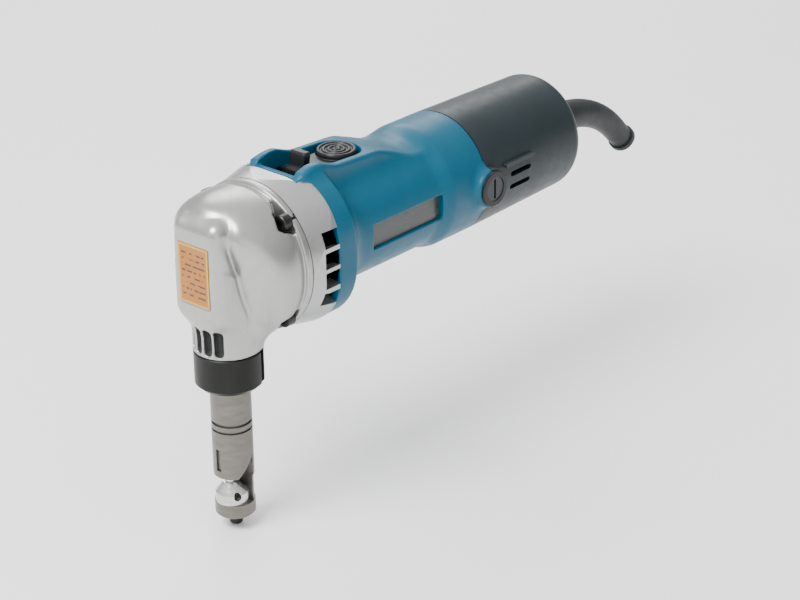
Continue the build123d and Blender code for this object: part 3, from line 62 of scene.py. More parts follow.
joints = {j["name"]: j for j in frame["joints"]}

# Lengths in this script are millimetres unless they are handed to Blender, which takes metres.
MM = 0.001
MOTOR_AXIS = joints["armature_spin"]["pos_m"][2] / MM
CRANK_AXIS = joints["crank_spin"]["pos_m"][2] / MM

# ---------------------------------------------------------------- camera
# Place in metres, angles in degrees.
CAMERA_PLACE = Vector((-0.723, -0.759, 0.591))
CAMERA_AZIMUTH = -48.21
CAMERA_ELEVATION = 25.29
CAMERA_ROLL = -0.72
CAMERA_LENS = 107.5


def make_camera():
    """A camera at the reference view, given by azimuth and elevation, plus a slight roll."""
    a, e, r = radians(CAMERA_AZIMUTH), radians(CAMERA_ELEVATION), radians(CAMERA_ROLL)
    back = Vector((sin(a) * cos(e), -cos(a) * cos(e), sin(e)))
    right = Vector((cos(a), sin(a), 0))
    up = back.cross(right)
    right, up = cos(r) * right + sin(r) * up, cos(r) * up - sin(r) * right
    data = bpy.data.cameras.new("camera")
    data.lens = CAMERA_LENS
    data.sensor_width = 36
    data.clip_start = 0.05
    data.clip_end = 30
    camera = bpy.data.objects.new("camera", data)
    turn = Matrix((right, up, back)).transposed()
    camera.matrix_world = Matrix.Translation(CAMERA_PLACE) @ turn.to_4x4()
    bpy.context.scene.collection.objects.link(camera)
    bpy.context.scene.camera = camera


# ---------------------------------------------------------------- materials
# Most values of a noise texture lie in this range.
NOISE_MIDDLE = (0.3, 0.7)


class Shader:
    """A small helper that builds one Principled material from named steps."""

    def __init__(self, name, roughness=0.5, metallic=0.0, **fixed):
        self.name = name
        self.material = bpy.data.materials.new(name)
        self.material.use_nodes = True
        self.tree = self.material.node_tree
        self.principled = self.tree.nodes["Principled BSDF"]
        self.principled.inputs["Roughness"].default_value = roughness
        self.principled.inputs["Metallic"].default_value = metallic
        for socket, value in fixed.items():
            self.principled.inputs[socket.replace("_", " ")].default_value = value
        self.place = self.add("ShaderNodeTexCoord").outputs["Object"]

    def add(self, kind, **settings):
        node = self.tree.nodes.new(kind)
        for key, value in settings.items():
            setattr(node, key, value)
        return node

    def link(self, source, target):
        self.tree.links.new(source, target)

    def noise(self, scale, detail=4.0, roughness=0.55, stretch=(1, 1, 1)):
        """Noise over the rest position; scale is features per metre."""
        mapping = self.add("ShaderNodeMapping")
        mapping.inputs["Scale"].default_value = stretch
        self.link(self.place, mapping.inputs["Vector"])
        node = self.add("ShaderNodeTexNoise")
        node.inputs["Scale"].default_value = scale
        node.inputs["Detail"].default_value = detail
        node.inputs["Roughness"].default_value = roughness
        self.link(mapping.outputs["Vector"], node.inputs["Vector"])
        return node.outputs["Fac"]

    def band(self, source, low, high, out_low, out_high):
        """Maps a value from low..high to out_low..out_high, clamped."""
        node = self.add("ShaderNodeMapRange")
        for key, value in zip(("From Min", "From Max", "To Min", "To Max"), (low, high, out_low, out_high)):
            node.inputs[key].default_value = value
        self.link(source, node.inputs["Value"])
        return node.outputs["Result"]

    def mix(self, amount, first, second):
        """Colour mix; either colour may be a tuple or a socket."""
        node = self.add("ShaderNodeMix", data_type="RGBA")
        # The node's inputs 0, 6 and 7 are the factor and the two colours; output 2 is the mixed colour.
        for index, value in ((0, amount), (6, first), (7, second)):
            if isinstance(value, (int, float)):
                node.inputs[index].default_value = value
            elif isinstance(value, tuple):
                node.inputs[index].default_value = (*value, 1)
            else:
                self.link(value, node.inputs[index])
        return node.outputs[2]

    def maths(self, operation, first, second=0.0):
        node = self.add("ShaderNodeMath", operation=operation)
        for index, value in enumerate((first, second)):
            if isinstance(value, (int, float)):
                node.inputs[index].default_value = value
            else:
                self.link(value, node.inputs[index])
        return node.outputs["Value"]

    def colour(self, source):
        self.link(source, self.principled.inputs["Base Color"])

    def rough(self, source):
        self.link(source, self.principled.inputs["Roughness"])

    def bump(self, height, distance, strength=1.0):
        """Adds a bump of the given depth in metres, on top of any earlier one."""
        node = self.add("ShaderNodeBump")
        node.inputs["Distance"].default_value = distance
        node.inputs["Strength"].default_value = strength
        self.link(height, node.inputs["Height"])
        earlier = self.principled.inputs["Normal"].links
        if earlier:
            self.link(earlier[0].from_socket, node.inputs["Normal"])
        self.link(node.outputs["Normal"], self.principled.inputs["Normal"])

    def clouds(self, scale, low, high, stretch=(1, 1, 1)):
        """Noise spread over the range low..high."""
        return self.band(self.noise(scale, stretch=stretch), *NOISE_MIDDLE, low, high)


def mottled(name, base, other, scale, roughness, metallic=0.0, grain=900.0, grain_depth=0.00002,
            rough_spread=0.06, stretch=(1, 1, 1), **fixed):
    """Two tones of one colour, an uneven gloss and a fine grain: the base of most finishes here."""
    s = Shader(name, roughness, metallic, **fixed)
    s.colour(s.mix(s.clouds(scale, 0, 1, stretch), base, other))
    s.rough(s.clouds(scale * 4, roughness - rough_spread, roughness + rough_spread, stretch))
    s.bump(s.noise(grain, detail=2.0, stretch=stretch), grain_depth)
    return s


# Label sizes in metres; a bar's half height and the gaps between words are shares.
LABEL_ROW = 0.0031
LABEL_BORDER = 0.0011
LABEL_BAR = 0.16
LABEL_WORDS_PER_METRE = 420
LABEL_GAPS = 0.47


def label_foil():
    """Amber foil with a pale border and rows of plain dark bars in place of print."""
    low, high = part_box("label_plate")
    s = Shader("label_foil", 0.35)
    axes = s.add("ShaderNodeSeparateXYZ")
    s.link(s.place, axes.inputs["Vector"])
    y, z = axes.outputs["Y"], axes.outputs["Z"]
    from_bottom, from_top = s.maths("SUBTRACT", z, low[2]), s.maths("SUBTRACT", high[2], z)
    from_side = s.maths("SUBTRACT", high[1], s.maths("ABSOLUTE", y))
    edge = s.maths("MINIMUM", from_side, s.maths("MINIMUM", from_bottom, from_top))
    row = s.maths("FRACT", s.maths("DIVIDE", from_bottom, LABEL_ROW))
    bar = s.maths("LESS_THAN", s.maths("ABSOLUTE", s.maths("SUBTRACT", row, 0.5)), LABEL_BAR)
    # One change per row upwards and many along it, so that each row breaks into words of its own.
    word_stretch = (0, 1, 1 / (LABEL_WORDS_PER_METRE * LABEL_ROW))
    word_noise = s.noise(LABEL_WORDS_PER_METRE, detail=1.0, stretch=word_stretch)
    word = s.maths("GREATER_THAN", word_noise, LABEL_GAPS)
    inside = s.maths("GREATER_THAN", edge, 2 * LABEL_BORDER)
    print_mask = s.maths("MULTIPLY", s.maths("MULTIPLY", bar, word), inside)
    foil = s.mix(s.clouds(90, 0, 1), (0.34, 0.115, 0.006), (0.38, 0.135, 0.009))
    framed = s.mix(s.maths("LESS_THAN", edge, LABEL_BORDER), foil, (0.50, 0.27, 0.03))
    s.colour(s.mix(print_mask, framed, (0.06, 0.02, 0.006)))
    return s


def make_materials():
    """One finish for each material slot, and a near-black painted shade for the walls of the neck vents."""
    sprayed = {"grain": 1500, "grain_depth": 0.000008}
    finishes = [
        mottled("gear_case_paint", (0.40, 0.405, 0.39), (0.35, 0.355, 0.345), 60, 0.33, 0.85, **sprayed),
        mottled("exhaust_ring_metal", (0.42, 0.425, 0.42), (0.38, 0.385, 0.38), 60, 0.32, 0.85, **sprayed),
        mottled("housing_plastic", (0.0005, 0.072, 0.128), (0.0005, 0.082, 0.142), 40, 0.40,
                grain=3200, grain_depth=0.00004, Specular_IOR_Level=0.25),
        mottled("cover_plastic", (0.009, 0.017, 0.020), (0.013, 0.021, 0.025), 50, 0.42,
                grain=2800, grain_depth=0.00005, Specular_IOR_Level=0.28),
        mottled("guard_rubber", (0.012, 0.015, 0.016), (0.017, 0.020, 0.021), 80, 0.5,
                grain=2000, grain_depth=0.00004, Specular_IOR_Level=0.3),
        label_foil(),
        # Painted shade: near-black colour for the vent walls, in place of the shadow inside the vents.
        mottled("vent_painted_shade", (0.02, 0.022, 0.021), (0.035, 0.037, 0.036), 120, 0.7),
        mottled("side_plate_foil", (0.035, 0.042, 0.040), (0.055, 0.062, 0.060), 60, 0.3, 0.3,
                stretch=(0.1, 1, 1)),
        mottled("black_screw", (0.012, 0.012, 0.013), (0.03, 0.03, 0.03), 200, 0.35, 0.6),
        mottled("nut_steel", (0.008, 0.009, 0.008), (0.016, 0.017, 0.015), 70, 0.42, 0.3,
                stretch=(1, 1, 0.2), Specular_IOR_Level=0.2),
        mottled("holder_steel", (0.13, 0.122, 0.108), (0.17, 0.162, 0.146), 90, 0.36, 0.8,
                grain=500, stretch=(1, 1, 4)),
        mottled("die_steel", (0.62, 0.62, 0.61), (0.5, 0.5, 0.49), 150, 0.18, 0.95,
                grain=800, stretch=(1, 1, 4)),
        mottled("punch_steel", (0.66, 0.66, 0.66), (0.55, 0.55, 0.55), 150, 0.15, 0.95),
        mottled("machined_steel", (0.42, 0.42, 0.41), (0.5, 0.5, 0.49), 90, 0.3, 0.9),
        mottled("bearing_steel", (0.5, 0.5, 0.5), (0.6, 0.6, 0.6), 90, 0.2, 0.95),
        mottled("bronze", (0.45, 0.28, 0.12), (0.38, 0.22, 0.09), 300, 0.4, 0.85),
        mottled("lamination_steel", (0.10, 0.10, 0.105), (0.15, 0.15, 0.15), 60, 0.45, 0.7,
                stretch=(20, 1, 1)),
        mottled("copper_wire", (0.45, 0.16, 0.05), (0.34, 0.10, 0.03), 400, 0.3, 0.8, stretch=(0.1, 1, 1)),
        mottled("commutator_copper", (0.60, 0.27, 0.12), (0.40, 0.17, 0.07), 90, 0.28, 0.9),
        mottled("carbon", (0.02, 0.02, 0.02), (0.03, 0.03, 0.03), 400, 0.6),
        mottled("switch_plastic", (0.006, 0.007, 0.008), (0.010, 0.011, 0.012), 90, 0.34,
                Specular_IOR_Level=0.25),
        mottled("cap_plastic", (0.020, 0.023, 0.025), (0.028, 0.031, 0.033), 90, 0.4,
                Specular_IOR_Level=0.3),
        mottled("brown_plastic", (0.06, 0.03, 0.016), (0.08, 0.04, 0.02), 90, 0.4),
        mottled("white_plastic", (0.65, 0.64, 0.60), (0.58, 0.57, 0.53), 90, 0.4),
        mottled("seal_felt", (0.30, 0.27, 0.21), (0.22, 0.2, 0.16), 500, 0.9),
        mottled("boot_rubber", (0.02, 0.02, 0.02), (0.03, 0.03, 0.03), 90, 0.6),
    ]
    return {finish.name: finish.material for finish in finishes}


def dress(obj, slot):
    """Gives an object the finish of its material slot."""
    obj.data.materials.clear()
    obj.data.materials.append(materials[slot])


# ---------------------------------------------------------------- forms given by a field
def soft_min(a, b, k):
    """The smaller of two distances, blended over a width k: a union with a fillet."""
    h = np.clip(0.5 + 0.5 * (b - a) / k, 0, 1)
    return b + (a - b) * h - k * h * (1 - h)


def soft_max(a, b, k):
    """The larger of two distances, blended over a width k: what two forms share, with a rounded edge."""
    return -soft_min(-a, -b, k)


def cut(body, tool, k=0.5):
    """The body without the tool, with an edge about k wide."""
    return soft_max(body, -tool, k)


def between(value, low, high):
    """Distance outside the range low..high."""
    return np.maximum(low - value, value - high)


def box(x, y, z, low, high, corner=0.0):
    """Distance to a box with rounded corners."""
    across = [np.abs(v - (a + b) / 2) - (b - a) / 2 + corner for v, a, b in zip((x, y, z), low, high)]
    outside = np.sqrt(sum(np.maximum(v, 0) ** 2 for v in across))
    return outside + np.minimum(np.maximum.reduce(across), 0) - corner


def disc(a, b, radius):
    """Distance to a round section of the given radius, from its two coordinates."""
    return np.hypot(a, b) - radius


def ease(value, start, end):
    """Zero before start, one after end, smooth between."""
    t = np.clip((value - start) / (end - start), 0, 1)
    return t * t * (3 - 2 * t)


def crossings(value, axes, axis):
    """Grid edges along one axis where the field changes sign: their lower corners, points and directions."""
    lower = [slice(None)] * 3
    upper = [slice(None)] * 3
    lower[axis], upper[axis] = slice(None, -1), slice(1, None)
    first, second = value[tuple(lower)], value[tuple(upper)]
    index = np.argwhere((first < 0) != (second < 0))
    a, b = first[tuple(index.T)], second[tuple(index.T)]
    points = np.stack([axes[n][index[:, n]] for n in range(3)], axis=1)
    points[:, axis] += (axes[axis][1] - axes[axis][0]) * a / (a - b)
    return index, points, a < 0


def surface_net(field, low, high, pitch):
    """Quads around every crossing of the field with a grid, with one corner in each grid cell it passes."""
    axes = [np.arange(a - 2 * pitch, b + 3 * pitch, pitch) for a, b in zip(low, high)]
    value = field(*np.meshgrid(*axes, indexing="ij"))
    shape = value.shape
    total, count, quads = np.zeros((value.size, 3)), np.zeros(value.size), []
    for axis in range(3):
        index, points, leaving = crossings(value, axes, axis)
        b, c = (axis + 1) % 3, (axis + 2) % 3
        ring = []
        for step_b, step_c in ((-1, -1), (0, -1), (0, 0), (-1, 0)):
            cell = index.copy()
            cell[:, b] += step_b
            cell[:, c] += step_c
            flat = np.ravel_multi_index(cell.T, shape)
            np.add.at(total, flat, points)
            np.add.at(count, flat, 1)
            ring.append(flat)
        quad = np.stack(ring, axis=1)
        quads.append(np.where(leaving[:, None], quad, quad[:, ::-1]))
    used = np.flatnonzero(count)
    number = np.full(value.size, -1)
    number[used] = np.arange(len(used))
    return total[used] / count[used, None], number[np.concatenate(quads)]


def settle(points, quads, field, pitch, rounds=4):
    """Evens out the quads and brings every corner onto the surface of the field."""
    probe = 0.02
    flattest = 0.05
    longest_move = 0.4 * pitch
    ends = np.concatenate([quads[:, [0, 1]], quads[:, [1, 2]], quads[:, [2, 3]], quads[:, [3, 0]]])
    degree = np.bincount(ends[:, 0], minlength=len(points))[:, None]
    for turn in range(rounds):
        if turn < rounds - 1:
            mean = np.zeros_like(points)
            np.add.at(mean, ends[:, 0], points[ends[:, 1]])
            points = points + 0.5 * (mean / degree - points)
        for _ in range(2):
            value = field(*points.T)
            slope = np.stack([(field(*(points + probe * d).T) - field(*(points - probe * d).T)) / (2 * probe)
                              for d in np.eye(3)], axis=1)
            move = slope * (value / np.maximum((slope ** 2).sum(axis=1), flattest))[:, None]
            reach = np.linalg.norm(move, axis=1, keepdims=True)
            points = points - move * np.minimum(1, longest_move / np.maximum(reach, 1e-9))
    return points


def form(name, field, low, high, pitch):
    """Mesh object of the surface where field(x, y, z) is zero. The field is in millimetres."""
    points, quads = surface_net(field, low, high, pitch)
    points = settle(points, quads, field, pitch)
    mesh = bpy.data.meshes.new(name)
    mesh.from_pydata((points * MM).tolist(), [], quads.tolist())
    mesh.validate()
    mesh.shade_smooth()
    piece = bpy.data.objects.new(name, mesh)
    bpy.context.scene.collection.objects.link(piece)
    return piece


def node_box(name):
    """A CAD node's corners in millimetres."""
    low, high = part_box(name)
    return np.array(low) / MM, np.array(high) / MM


def stand_in(name, field, node, body, pitch):
    """A mesh piece made from a field, shown in place of a CAD node."""
    low, high = node_box(node)
    piece = form(name, field, low, high, pitch)
    dress(piece, slots[node])
    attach(piece, body)
    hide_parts(node)
    return piece


# ---------------------------------------------------------------- gear housing
LIP_RADIUS = 38.4
LIP_LENGTH = 4.0
WAIST_RADIUS = 36.6
BELLY_RADIUS = 38.0
BELLY_X = 12.0
DOME_LENGTH = 21.5
DOME_POWER = 2.3
DOME_LEAN = 0.2
DOME_SWELL = 0.018
BLOCK_HALF_WIDTH = 17.0
BLOCK_TOP = 32.0
BLOCK_BOTTOM = -24.0
BLOCK_EDGE = 8.0
BLOCK_LENGTH_IN_BELLY = 12.0
BLOCK_BLEND = 1.6
NECK_BLEND = 9.0
SCREW_REACH = 25.0
HEAD_POCKET_RADIUS = 5.6
HEAD_POCKET_DEPTH = 11.0
SCREW_HOLE_RADIUS = 2.7
# Corners of each screw scoop's slanting wall: distance along, out and up from the motor axis.
SCOOP_TIP = (18.0, 13.0, 35.7)
SCOOP_FRONT = (9.0, 28.4, 23.8)
SCOOP_ROOT = (18.0, 19.4, 19.4)
SCOOP_LEDGE_SLOPE = 0.49
SCOOP_RUN_OUT = 1.5
CREASE_DEPTH = 1.2
CREASE_WIDTH = 2.4
VENT_ANGLES = (-30.75, -10.25, 10.25, 30.75)
VENT_WIDTH = 5.0
VENT_DEPTH = 4.4
VENT_HEIGHT = 16.0
VENT_START = 1.6
LABEL_GAP = 0.1
SPIGOT_RADIUS = 11.9
SPIGOT_GAP = 0.05
STUB_RADIUS = 15.4
# Room for the yoke on the ram: its front, half width, corner, and what it takes over the crank's axis.
YOKE_ROOM_FRONT = -9.0
YOKE_ROOM_HALF_WIDTH = 13.9
YOKE_ROOM_CORNER = 6.0
CRANK_THROW = 3.0
YOKE_HALF_HEIGHT = 9.65
YOKE_GAP = 1.0
CRANK_BEARING_RADIUS = 13.0
BEARING_BOSS_RADIUS = 15.4
SCREW_BOSS_RADIUS = 11.6
CHAMBER_RADIUS = 34.6
CHAMBER_STEP = 3.0
CRANK_GEAR_ROOM_RADIUS = 17.3


def gear_housing_field(x, y, z):
    """Egg-shaped gear housing: domed round body, front block, neck, scoops, vents and all its bores."""
    up = z - MOTOR_AXIS
    radial = np.hypot(y, up)
    front_x, rear_x = gear_low[0], gear_high[0]
    # Round body: its dome is a superellipse that leans forward at the top, then a waist and a lip.
    dome_length = DOME_LENGTH + DOME_LEAN * up + DOME_SWELL * np.maximum(up, 0) ** 2
    ahead = np.clip((BELLY_X - x) / dome_length, 0, 1.4)
    dome = (radial / BELLY_RADIUS) ** DOME_POWER + ahead ** DOME_POWER
    dome = (dome ** (1 / DOME_POWER) - 1) * BELLY_RADIUS
    waist = radial - BELLY_RADIUS + (BELLY_RADIUS - WAIST_RADIUS) * ease(x, BELLY_X, rear_x - LIP_LENGTH)
    body = np.where(x < BELLY_X, dome, waist)
    # Front block with a big rounding and a shallow valley where the dome meets it.
    block_rear = BELLY_X + BLOCK_LENGTH_IN_BELLY
    block = box(x, y, up, (front_x, -BLOCK_HALF_WIDTH, BLOCK_BOTTOM),
                (block_rear, BLOCK_HALF_WIDTH, BLOCK_TOP), BLOCK_EDGE)
    crease = CREASE_DEPTH * np.exp(-((body - block) / CREASE_WIDTH) ** 2)
    body = soft_min(body, block, BLOCK_BLEND) + crease
    neck = soft_max(disc(x, y, neck_radius), between(z, neck_bottom, MOTOR_AXIS), 0.8)
    body = soft_min(body, neck, NECK_BLEND)
    body = soft_max(soft_max(body, neck_bottom - z, 0.8), front_x - x, 0.8)
    lip = soft_max(radial - LIP_RADIUS, between(x, rear_x - LIP_LENGTH, rear_x), 0.7)
    body = soft_min(body, lip, 0.8)
    body = soft_max(body, x - rear_x, 0.4)
    # Scoops for the four screws, each open to the outside, with a round seat for the head.
    side_y, side_up = np.abs(y), np.abs(up)
    lip_face = x - (rear_x - LIP_LENGTH)
    wall = scoop_level - (scoop_normal[0] * x + scoop_normal[1] * side_y + scoop_normal[2] * side_up)
    ledge = SCOOP_ROOT[2] + SCOOP_LEDGE_SLOPE * (SCOOP_ROOT[0] - x) - side_up
    ends = np.maximum(lip_face, SCOOP_FRONT[0] - SCOOP_RUN_OUT - x)
    scoop = soft_max(soft_max(wall, ledge, 0.8), ends, 0.5)
    body = cut(body, scoop, 0.6)
    screw_y, screw_up = side_y - SCREW_REACH, side_up - SCREW_REACH
    seat = np.maximum.reduce([disc(screw_y, screw_up, HEAD_POCKET_RADIUS), lip_face, HEAD_POCKET_DEPTH - x])
    body = cut(body, seat, 0.8)
    shank = np.maximum(disc(screw_y, screw_up, SCREW_HOLE_RADIUS), HEAD_POCKET_DEPTH - x)
    body = cut(body, shank, 0.3)
    # Threaded stub under the neck.
    stub = soft_max(disc(x, y, STUB_RADIUS), between(z, gear_low[2], neck_bottom + 2), 0.5)
    body = np.minimum(body, stub)
    # Arched vents around the front of the neck, narrower inside.
    for angle in VENT_ANGLES:
        turn = radians(angle)
        out = -x * cos(turn) + y * sin(turn)
        along = (x * sin(turn) + y * cos(turn)) * neck_radius / np.maximum(out, 5)
        vent = box(along, z, out, (-VENT_WIDTH / 2, neck_bottom + VENT_START, neck_radius - VENT_DEPTH),
                   (VENT_WIDTH / 2, neck_bottom + VENT_HEIGHT, neck_radius + 20), VENT_WIDTH / 2 - 0.1)
        body = cut(body, vent, 0.4)
    # Label recess.
    recess = box(x, y, z, (label_low[0] - 5, label_low[1] - LABEL_GAP, label_low[2] - LABEL_GAP),
                 (label_high[0], label_high[1] + LABEL_GAP, label_high[2] + LABEL_GAP), 0.6)
    body = cut(body, recess, 0.5)
    # Bores for the die holder, the seal and the ram's bush.
    body = cut(body, np.maximum(disc(x, y, SPIGOT_RADIUS + SPIGOT_GAP), z - seal_bottom), 0.3)
    body = cut(body, np.maximum(disc(x, y, bush_radius), between(z, seal_bottom - 1, MOTOR_AXIS)), 0.3)
    # Yoke chamber, bearing seat and gear chamber.
    bearing_front, bearing_rear = bearing_low[0], bearing_high[0]
    yoke_room = box(x, y, z, (YOKE_ROOM_FRONT, -YOKE_ROOM_HALF_WIDTH, yoke_bottom),
                    (bearing_front, YOKE_ROOM_HALF_WIDTH, yoke_top), YOKE_ROOM_CORNER)
    body = cut(body, yoke_room, 0.3)
    bearing_seat = disc(y, z - CRANK_AXIS, CRANK_BEARING_RADIUS)
    body = cut(body, np.maximum(bearing_seat, between(x, bearing_front, rear_x + 5)), 0.3)
    boss = disc(y, z - CRANK_AXIS, BEARING_BOSS_RADIUS)
    posts = disc(screw_y, screw_up, SCREW_BOSS_RADIUS)
    chamber = np.maximum.reduce([radial - CHAMBER_RADIUS, bearing_front + CHAMBER_STEP - x, -boss, -posts])
    body = cut(body, chamber, 0.3)
    gear_room = np.maximum(disc(y, z - CRANK_AXIS, CRANK_GEAR_ROOM_RADIUS), bearing_rear - x)
    return cut(body, gear_room, 0.3)


gear_low, gear_high = node_box("gear_housing")
label_low, label_high = node_box("label_plate")
seal_bottom = node_box("ram_seal")[0][2]
bearing_low, bearing_high = node_box("crank_bearing")
neck_bottom = node_box("lock_nut")[1][2] + 0.2
neck_radius = node_box("lock_nut")[1][0]
bush_radius = node_box("ram_bush")[1][0]
yoke_bottom = node_box("ram_bush")[1][2]
yoke_top = CRANK_AXIS + CRANK_THROW + YOKE_HALF_HEIGHT + YOKE_GAP
scoop_normal = np.cross(np.subtract(SCOOP_ROOT, SCOOP_TIP), np.subtract(SCOOP_FRONT, SCOOP_TIP))
scoop_normal = scoop_normal / np.linalg.norm(scoop_normal)
scoop_level = scoop_normal @ SCOOP_TIP


# ---------------------------------------------------------------- motor housing
BARREL_RADIUS = 30.8
TAIL_RADIUS = 33.4
TAIL_LENGTH = 24.0
BULGE_LENGTH = 12.0
FLANGE_RADIUS = 42.3
FLANGE_CORNER = 30.5
FLANGE_LENGTH = 11.0
FLARE_LENGTH = 19.0
FLANGE_EDGE = 2.0
HOOD_SEAT = 35.7
DECK_HALF_WIDTH = 16.8
DECK_EDGE = 2.4
DECK_BLEND = 7.0
DECK_LENGTH = 90.0
DECK_FOOT = 10.0
# A height over everything on the deck.
DECK_SKY = 60.0
# Top of the hood and deck: distance behind the hood's front, and height over the motor axis.
DECK_RUN = (0.0, 6.0, 12.0, 19.0, 29.0, 44.0, 60.0, 72.0, 84.0)
DECK_TOP = (37.0, 40.2, 42.3, 41.3, 37.6, 36.8, 35.9, 31.4, 24.0)
POCKET_HALF_WIDTH = 12.3
POCKET_FLOOR = 31.6
POCKET_SETBACK = 6.0
CROSS_PIECE_TOP = 38.2
CROSS_PIECE_LENGTH = 8.0
CROSS_GROOVES = 3
CROSS_GROOVE_START = 1.3
CROSS_GROOVE_PITCH = 1.8
CROSS_GROOVE_WIDTH = 0.9
CROSS_GROOVE_DEPTH = 1.0
CROSS_GROOVE_INSET = 0.8
PLATE_RECESS = 0.9
PLATE_GAP = 0.1
BORE_RADIUS = 25.7
FAN_ROOM_RADIUS = 34.3
FAN_ROOM_LENGTH = 14.0
SCREW_POST_RADIUS = 5.7
VENT_MOUTH_RADIUS = 37.6
VENT_MOUTH_DEPTH = 7.0
VENT_MOUTH_HALF_HEIGHT = 21.0
SLEEVE_RADIUS = 24.5
SLEEVE_WALL = 3.0
SLEEVE_FOOT = 1.3
SLEEVE_OVERLAP = 6.0
BRUSH_HOLDER_RADIUS = 8.0
BOSS_RADIUS = 10.5
BOSS_REACH = 36.6
BOSS_BLEND = 5.0
ROD_GAP = 0.3
PAD_RADIUS = 10.3
SLIDER_TRAVEL = 6.5
LUG_PLACE = 3.0
LUG_LENGTH = 4.0
LUG_HALF_WIDTH = 2.2
LUG_GAP = 0.3


def motor_housing_field(x, y, z):
    """Round motor housing with a rounded square flange, hood and switch deck, brush bosses and its bores."""
    up = z - MOTOR_AXIS
    side_y = np.abs(y)
    radial = np.hypot(y, up)
    # Flange, flare, barrel and the bulge before the rear cover.
    flare = np.clip(1 - (x - ring_rear - FLANGE_LENGTH) / FLARE_LENGTH, 0, 1) ** 3
    bulge = ease(x, cover_joint - TAIL_LENGTH - BULGE_LENGTH, cover_joint - TAIL_LENGTH)
    radius = BARREL_RADIUS + (FLANGE_RADIUS - BARREL_RADIUS) * flare + (TAIL_RADIUS - BARREL_RADIUS) * bulge
    corner = flange_half - FLANGE_CORNER
    square = np.hypot(np.maximum(side_y - corner, 0), np.maximum(np.abs(up) - corner, 0)) - FLANGE_CORNER
    body = soft_max(radial - radius, square, FLANGE_EDGE)
    body = soft_max(body, between(x, ring_rear, cover_joint), 0.8)
    # Hood and switch deck, blended into the flange and the barrel.
    # The mean of three places rounds the outline's corners.
    top = sum(np.interp(x + shift, hood_front + np.array(DECK_RUN), DECK_TOP) for shift in (-2.5, 0, 2.5)) / 3
    deck = soft_max(side_y - DECK_HALF_WIDTH, up - top, DECK_EDGE)
    deck = np.maximum(deck, between(up, DECK_FOOT, DECK_SKY))
    deck = soft_max(deck, between(x, hood_front, hood_front + DECK_LENGTH), 1.0)
    body = soft_min(body, deck, DECK_BLEND)
    body = np.where(x < ring_rear, soft_max(body, HOOD_SEAT - up, 0.3), body)
    # Brush bosses, cut off at the rear cover.
    boss = soft_max(disc(x - brush_x, up, BOSS_RADIUS), side_y - BOSS_REACH, 1.0)
    body = soft_min(body, boss, BOSS_BLEND)
    body = soft_max(body, x - cover_joint, 0.5)
    # Switch pocket and the ribbed cross piece in front of it.
    pocket = np.where(x < pad_x, side_y, np.hypot(x - pad_x, y)) - POCKET_HALF_WIDTH
    pocket = np.maximum(pocket, hood_front + POCKET_SETBACK - x)
    body = cut(body, np.maximum(pocket, POCKET_FLOOR - up), 0.7)
    gap = box(x, y, up, (hood_front - 3, -POCKET_HALF_WIDTH, CROSS_PIECE_TOP),
              (hood_front + CROSS_PIECE_LENGTH, POCKET_HALF_WIDTH, DECK_SKY), 0.5)
    body = cut(body, gap, 0.5)
    groove_half = POCKET_HALF_WIDTH - CROSS_GROOVE_INSET
    for number in range(CROSS_GROOVES):
        place = hood_front + CROSS_GROOVE_START + CROSS_GROOVE_PITCH * number
        groove = box(x, y, up, (place, -groove_half, CROSS_PIECE_TOP - CROSS_GROOVE_DEPTH),
                     (place + CROSS_GROOVE_WIDTH, groove_half, DECK_SKY), 0.3)
        body = cut(body, groove, 0.3)
    # Recesses for the side plates.
    recess = box(x, side_y, z,
                 (plate_low[0] - PLATE_GAP, plate_high[1] - PLATE_RECESS, plate_low[2] - PLATE_GAP),
                 (plate_high[0] + PLATE_GAP, plate_high[1] + 20, plate_high[2] + PLATE_GAP), 0.3)
    body = cut(body, recess, 0.5)
    # Fan room round the screw posts, and the bore round the field.
    posts = disc(side_y - SCREW_REACH, np.abs(up) - SCREW_REACH, SCREW_POST_RADIUS)
    fan_room = np.maximum.reduce([radial - FAN_ROOM_RADIUS, x - ring_rear - FAN_ROOM_LENGTH, -posts])
    body = cut(body, fan_room, 0.3)
    mouth = np.maximum.reduce([radial - VENT_MOUTH_RADIUS, x - ring_rear - VENT_MOUTH_DEPTH,
                               np.abs(up) - VENT_MOUTH_HALF_HEIGHT, -posts])
    body = cut(body, mouth, 0.3)
    body = cut(body, radial - BORE_RADIUS, 0.3)
    # Channel for the switch rod, and the slot in which the slider's lug reaches it.
    channel = box(x, y, z, (rod_low[0] - SLIDER_TRAVEL - 1, rod_low[1] - ROD_GAP, rod_low[2] - 3),
                  (cover_joint + 5, rod_high[1] + ROD_GAP, rod_high[2] + ROD_GAP), 0.2)
    body = cut(body, channel, 0.3)
    slot = box(x, y, up, (lug_x - SLIDER_TRAVEL - 0.5, -LUG_HALF_WIDTH - LUG_GAP, BORE_RADIUS),
               (lug_x + LUG_LENGTH + 0.5, LUG_HALF_WIDTH + LUG_GAP, POCKET_FLOOR + 1), 0.2)
    body = cut(body, slot, 0.3)
    # Inner sleeve that carries the brush holders and the rear bearing.
    outside = radial - SLEEVE_RADIUS - SLEEVE_FOOT * (x < cover_joint)
    sleeve = np.maximum(outside, between(x, cover_joint - SLEEVE_OVERLAP, sleeve_end))
    hollow = np.where(x < boot_low[0], SLEEVE_RADIUS - SLEEVE_WALL, boot_high[1])
    sleeve = np.maximum(sleeve, hollow - radial)
    sleeve = np.maximum(sleeve, -disc(x - brush_x, up, BRUSH_HOLDER_RADIUS))
    return np.minimum(body, sleeve)


